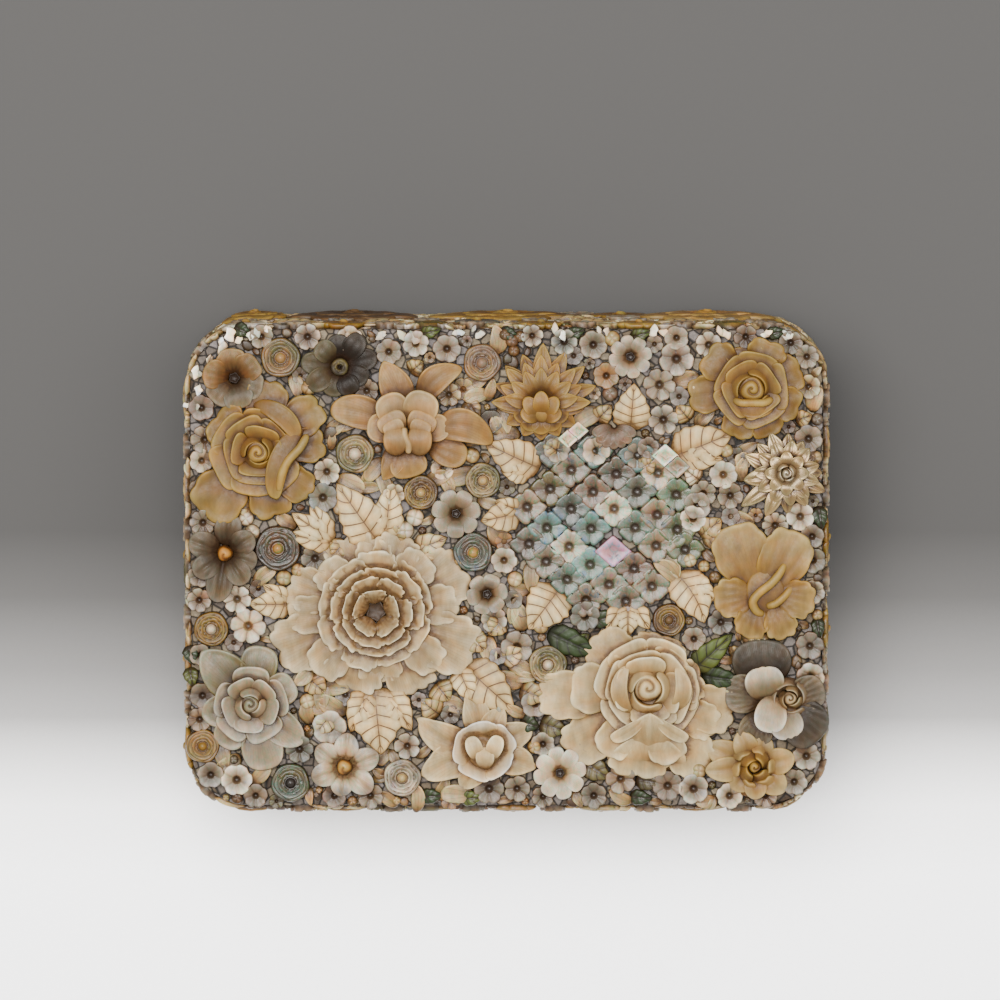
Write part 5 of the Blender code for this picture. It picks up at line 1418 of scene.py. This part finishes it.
def lacquer_material():
    """Dark brown lacquer with dust and fine wear."""
    g = Graph("lacquer")
    cloud = g.noise(60.0)
    grain = g.noise(2200.0, 4.0, 0.7)
    colour = g.ramp(cloud, ((0.3, (0.012, 0.005, 0.004)), (0.7, (0.030, 0.012, 0.008))))
    dust = g.math("MULTIPLY", g.ramp(grain, ((0.55, 0.0), (0.75, 1.0))), 0.35)
    colour = g.blend("MIX", dust, colour, (0.09, 0.05, 0.03))
    return g.finish(colour, (cloud, 0.2, 0.0001), Roughness=g.ramp(grain, ((0.3, 0.22), (0.8, 0.42))))


# Colours of the chips between the pieces: brown, lilac grey, pale grey, brown, cream
CHIP_TONES = ((0.05, (0.030, 0.019, 0.011)), (0.30, (0.085, 0.070, 0.058)), (0.50, (0.125, 0.108, 0.102)),
    (0.70, (0.070, 0.050, 0.030)), (0.90, (0.145, 0.115, 0.075)))
CHIPS_PER_METRE = 520.0


def ground_material():
    """The bed under the ornament: small flat chips of grey and lilac shell in brown glue."""
    g = Graph("ground")
    grain = g.noise(1800.0, 5.0, 0.7)
    chips, gaps = (g.put("TexVoronoi", {"Vector": g.place, "Scale": CHIPS_PER_METRE}, feature=kind) for
        kind in ("F1", "DISTANCE_TO_EDGE"))
    split = g.put("SeparateXYZ", {0: chips.outputs["Color"]}).outputs
    edge = g.ramp(gaps.outputs["Distance"], ((0.02, 0.10), (0.14, 1.0)))
    colour = g.blend("MULTIPLY", 1.0, g.ramp(split["X"], CHIP_TONES), edge)
    colour = g.blend("MULTIPLY", 1.0, colour, g.ramp(grain, ((0.3, 0.5), (0.7, 1.1))))
    height = g.math("ADD", g.math("MULTIPLY", grain, 0.3), edge)
    return g.finish(colour, (height, 0.6, 0.0002), Roughness=0.6, Specular_IOR_Level=0.12)


# Painted shade on the backdrop paper, from its dark back to its pale front: share of the way, how light it
# is
PAPER_SHADE = ((0.0, 0.021), (0.19, 0.046), (0.40, 0.124), (0.54, 0.212), (0.63, 0.425), (0.80, 0.84),
    (1.0, 1.0))
PAPER_BACK = 0.004
PAPER_FRONT = -0.067


def floor_material():
    """Pale paper with painted shade that darkens it towards the back of the table."""
    g = Graph("backdrop")
    split = g.put("SeparateXYZ", {0: g.place}).outputs
    way = g.put("MapRange", {"Value": split["Y"], "From Min": PAPER_BACK,
        "From Max": PAPER_FRONT}).outputs[0]
    # Warm where the painted shade is darkest at the back, cool at the front
    stops = [(share, (grey * (1.05 - 0.06 * share), grey, grey * (0.95 + 0.07 * share))) for share,
        grey in PAPER_SHADE]
    colour = g.blend("MULTIPLY", 1.0, g.ramp(way, stops), g.ramp(g.noise(900.0),
        ((0.3, 0.97), (0.7, 1.0))))
    return g.finish(colour, Roughness=0.8)


def outline(inset, steps=10):
    """Points round the box, the given distance inside the outer face."""
    radius = CORNER - inset
    points = []
    for corner, (sx, sy) in enumerate(((1, 1), (-1, 1), (-1, -1), (1, -1))):
        for step in range(steps + 1):
            angle = math.pi / 2 * (corner + step / steps)
            points.append((sx * FLAT_X + radius * math.cos(angle), sy * FLAT_Y + radius * math.sin(angle)))
    return points


def shell(name, levels, material, closed=False):
    """Joins the outlines at each inset and height into one closed body."""
    count = len(outline(0))
    vertices = [(x, y, height) for inset, height in levels for x, y in outline(inset)]
    pairs = [(k, k + 1) for k in range(len(levels) - 1)] + ([(len(levels) - 1, 0)] if closed else [])
    faces = []
    for low, high in pairs:
        for k in range(count):
            after = (k + 1) % count
            faces.append((low * count + k, low * count + after, high * count + after, high * count + k))
    if not closed:
        faces.append(tuple(range(count)))
        faces.append(tuple((len(levels) - 1) * count + k for k in range(count)))
    mesh = bpy.data.meshes.new(name)
    mesh.from_pydata(vertices, [], faces)
    return place_mesh(name, mesh, material)


MATERIALS = {
    "antler": dict(gloss=0.44, coat=0.0, stain_and_shade_tone=(0.028, 0.0135, 0.0050), streak=0.50, shine=0.16),
    "shell": dict(gloss=0.34, coat=0.0, pearl=0.40, streak=0.50, shine=0.20),
    "abalone": dict(gloss=0.28, coat=0.0, pearl=1.0, streak=0.50, shine=0.25),
    "mosaic": dict(gloss=0.26, coat=0.0, pearl=1.0, streak=0.60, shine=0.28),
    "dusk": dict(gloss=0.36, coat=0.0, pearl=0.25, streak=0.55, shine=0.09),
    "gilt": dict(gloss=0.28, coat=0.10, pearl=0.2, metallic=0.50, streak=0.30),
    "leaf": dict(gloss=0.42, coat=0.0, streak=0.40, shine=0.12, stain_and_shade_tone=(0.004, 0.004, 0.002)),
}

# Carvings that stand for one CAD node each: node, maker, finish, slot
FLOWERS = (
    ("peony", carve_peony, "antler", "cream_antler"), ("camellia", carve_camellia, "antler",
    "cream_antler"), ("rose_left", carve_rose_left, "antler", "amber_antler"),
    ("rose_right", carve_rose_right, "antler", "amber_antler"), ("orchid", carve_orchid, "antler",
    "peach_antler"), ("lotus", carve_lotus, "antler", "amber_antler"),
    ("hibiscus", carve_hibiscus, "antler", "amber_antler"), ("chrysanthemum", carve_chrysanthemum, "gilt",
    "gilt_shell"), ("gardenia", carve_gardenia, "shell", "grey_shell"),
    ("lily", carve_lily, "antler", "cream_antler"), ("daffodil", carve_daffodil, "antler", "amber_antler"),
    ("magnolia", carve_magnolia, "dusk", "dark_shell"), ("cosmos_left", carve_cosmos_left, "dusk",
    "grey_shell"), ("cosmos_front", carve_cosmos_front, "shell", "white_shell"),
    ("striped_flower", carve_striped, "dusk", "brown_shell"), ("dark_flower", carve_dark_flower, "dusk",
    "dark_shell"), ("white_flower", lambda c: carve_round(c, 560, 774, 27, 8, WHITE), "shell",
    "white_shell"), ("grey_flower_mid", lambda c: carve_round(c, 456, 513, 25, 7, PEARL), "shell",
    "grey_shell"), ("grey_flower_low", lambda c: carve_round(c, 487, 594, 21, 6, PEARL), "shell",
    "grey_shell"), ("pink_flower", lambda c: carve_round(c, 630, 356, 22, 8, mixed(ROSE, WHITE, 0.4)),
    "shell", "white_shell"),
)


# Ornament strewn on the lid and the sides, coarse before fine: tries, sizes, level, ceiling, kinds
LID_FILLS = ((6000, (9, 13), 0.8, 0.9, ("leaf", "leaf", "floret")),
    (9000, (6, 9), 0.7, 0.9, ("leaf", "leaf", "bead", "floret", "chip")),
    (9000, (4, 6), 0.7, 0.75, ("chip", "leaf", "bead")))
SIDE_FILLS = ((5000, (9, 13), 0.45, 0.75, ("leaf", "floret", "leaf", "chip")),
    (9000, (5, 8), 0.45, 0.7, ("chip", "leaf", "floret", "bead")))
# How strongly stain and painted shade darken the deep places of antler, against 1 for the rest
ANTLER_DEPTH = 0.85
ROSETTE_SLOTS = dict(rosette_amber="amber_antler", rosette_corner="amber_antler",
    rosette_white="white_shell", rosette_night="abalone", rosette_sea="abalone", rosette_green="abalone")


def lid_carvings():
    """The carvings of the lid that stand for one node each, as carving, node, finish and slot."""
    pieces = []
    for node, maker, finish, slot in FLOWERS:
        pieces.append((Carving(), node, finish, slot))
        maker(pieces[-1][0])
    for node, column, row, radius, tone_a, tone_b, size, bead_tone in ROSETTES:
        slot = ROSETTE_SLOTS.get(node, "brown_shell")
        pieces.append((Carving(), node, "abalone" if slot == "abalone" else "shell", slot))
        rosette(pieces[-1][0], *at(column, row), radius, (tone_a, tone_b), bead=size / radius,
            bead_tone=bead_tone, height=2.4)
    for node, rows in LEAVES.items():
        green = node.startswith("green")
        pieces.append((Carving(), node, "leaf" if green else "antler",
            "green_leaf" if green else "cream_antler"))
        for x0, y0, x1, y1, width, look in rows:
            look = dict(dict(tone=vary(LEAF_CREAM, 0.06)), **look)
            leaf(pieces[-1][0], *at(x0, y0), *at(x1, y1), width, **look)
    return pieces


def dress_lid(materials, ground_look):
    """Dresses the lid with flowers, leaves and rosettes, and returns its small ornament's pieces."""
    top = Heights(HALF_X / STEP, HALF_Y / STEP)
    pieces = lid_carvings()
    bed, mosaic, infill = carve_lid_bed(), Carving(), Carving()
    carve_tiles(mosaic)
    for c in [piece[0] for piece in pieces] + [bed, mosaic]:
        top.press(c)
    for row in LID_FILLS:
        fill(infill, top, lid_inside, *row)
        top.press(infill)
    top.shade_by_depth([c for c, _, finish, _ in pieces if finish != "antler"] + [bed, mosaic, infill])
    top.shade_by_depth([c for c, _, finish, _ in pieces if finish == "antler"], ANTLER_DEPTH)
    for c, node, finish, slot in pieces:
        c.points[0][:, 2] += BED_TOP
        piece = c.make(node + "_carving", materials[finish])
        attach(piece, "root")
        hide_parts(node)
    slab = shell("lid_ground", ((0.8 * MM, BED_TOP), (0.24 * MM, BED_TOP - 0.24 * MM),
        (0.0, BED_TOP - 0.8 * MM), (0.0, LID_RIM), (BED_WALL, LID_RIM), (BED_WALL, BED_UNDERSIDE)),
        ground_look)
    small = []
    for c, name, finish in ((bed, "lid_florets", "shell"), (infill, "lid_infill", "shell"),
            (mosaic, "lid_mosaic", "mosaic")):
        c.points[0][:, 2] += BED_TOP
        small.append(c.make(name, materials[finish]))
    return small, slab


# Share of a band's half height from which its ornament is pressed together, and the share left for it
EDGE_FROM = 0.94
EDGE_ROOM = 0.06
# Steps from the band's edge in which nothing stands higher than this
EDGE_STRIP = 3
EDGE_HEIGHT = 0.9 * MM


def keep_in_band(points, half):
    """Presses together what would pass the upper or lower edge of a band."""
    edge, room = EDGE_FROM * half * STEP, EDGE_ROOM * half * STEP
    far = np.abs(points[:, 1])
    pressed = np.minimum(far, edge) + room * np.tanh(np.maximum(far - edge, 0) / room)
    points[:, 1] = np.sign(points[:, 1]) * pressed
    low = np.minimum(points[:, 2], EDGE_HEIGHT)
    points[:, 2] = np.where(np.abs(points[:, 1]) > (half - EDGE_STRIP) * STEP, low, points[:, 2])


def dress_band(name, half, middle, spacing, materials, blossoms=()):
    """The ornament of one band round the box and its flowers, as pieces with their nodes."""
    strip = Heights(ROUND / 2 / STEP, half)
    spots = [(side_spot(side, share), reach_x) for _, side, share, reach_x, *_ in blossoms]
    band = carve_band(half, spacing, spots)
    carvings = [(band, None)]
    for node, side, share, reach_x, reach_y, heart, tones in blossoms:
        flower = Carving(deep=True)
        side_blossom(flower, side_spot(side, share), 0, tones, reach_x, reach_y, heart)
        strip.press(flower)
        carvings.append((flower, node))

    def inside(x, y, radius):
        return abs(y) + 0.65 * radius < half - 1

    for row in SIDE_FILLS:
        strip.press(band)
        fill(band, strip, inside, *row)
    strip.shade_by_depth([c for c, _ in carvings])
    pieces = []
    for c, node in carvings:
        keep_in_band(c.points[0], half)
        c.points[0] = wrap(c.points[0], middle)
        pieces.append((c.make(node + "_carving" if node else name, materials["antler" if node else
            "shell"]), node))
    return pieces


def main():
    """Dresses the box, and lights and frames it."""
    materials = {name: carved_material(name, **look) for name, look in MATERIALS.items()}
    lacquer = lacquer_material()
    ground_look = ground_material()
    small, slab = dress_lid(materials, ground_look)
    band = shell("tray_ground", ((0.0, PLINTH), (0.0, SEAM), (BED_WALL, SEAM), (BED_WALL, PLINTH)),
        ground_look, True)
    (lid_sides, _), = dress_band("lid_sides", LID_HALF, LID_MIDDLE, LID_SPACING, materials)
    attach(lid_sides, "root")
    for piece, node in dress_band("tray_sides", TRAY_HALF, TRAY_MIDDLE, TRAY_SPACING, materials,
            SIDE_BLOSSOMS):
        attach(piece, "root")
        if node:
            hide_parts(node)
        else:
            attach(band, "root")
            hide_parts("body_bed")
            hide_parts("body_bed")
    for piece in small + [lid_sides, slab]:
        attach(piece, "root")
        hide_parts("lid_bed")
    for node in ("box_body", "lid"):
        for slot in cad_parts[node].material_slots:
            slot.material = lacquer
    light_and_frame()


# Softboxes: name, place, size, power, tint
LIGHTS = (("key", (-0.22, 0.34, 1.25), 0.80, 48.0, (1.0, 0.98, 0.955)),
    ("fill", (0.5, 0.1, 1.3), 0.9, 13.0, (1.0, 1.0, 1.0)))
LIT_SPOT = (0, 0, 0.03)
ROOM_TINT = (1.0, 0.985, 0.965, 1.0)
ROOM_LIGHT = 1.64
FLOOR_HALF = 1.5
LENS = 270.0
SENSOR = 36.0
NEAREST = 0.01
CAMERA_AWAY = 1.5
CAMERA_TILT = math.radians(5.0)
CAMERA_TARGET = Vector((-1.3 * MM, 13.7 * MM, BED_TOP))


def light_and_frame():
    """Floor, soft studio light, and the camera high above the lid."""
    scene = bpy.context.scene
    mesh = bpy.data.meshes.new("floor")
    corners = [(sx * FLOOR_HALF, sy * FLOOR_HALF, 0) for sx, sy in ((-1, -1), (1, -1), (1, 1), (-1, 1))]
    mesh.from_pydata(corners, [], [(0, 1, 2, 3)])
    place_mesh("floor", mesh, floor_material())
    for name, place, size, power, tint in LIGHTS:
        light = bpy.data.lights.new(name, "AREA")
        light.size = size
        light.energy = power
        light.color = tint
        lamp = bpy.data.objects.new(name, light)
        scene.collection.objects.link(lamp)
        lamp.location = place
        lamp.rotation_euler = (Vector(LIT_SPOT) - Vector(place)).to_track_quat("-Z", "Y").to_euler()
    world = bpy.data.worlds.new("studio")
    world.use_nodes = True
    world.node_tree.nodes["Background"].inputs[0].default_value = ROOM_TINT
    world.node_tree.nodes["Background"].inputs[1].default_value = ROOM_LIGHT
    scene.world = world
    data = bpy.data.cameras.new("camera")
    data.lens = LENS
    data.sensor_width = SENSOR
    data.clip_start = NEAREST
    camera = bpy.data.objects.new("camera", data)
    camera.location = CAMERA_TARGET + CAMERA_AWAY * Vector((0, math.sin(CAMERA_TILT),
        math.cos(CAMERA_TILT)))
    camera.rotation_euler = (-CAMERA_TILT, 0, 0)
    scene.collection.objects.link(camera)
    scene.camera = camera


main()
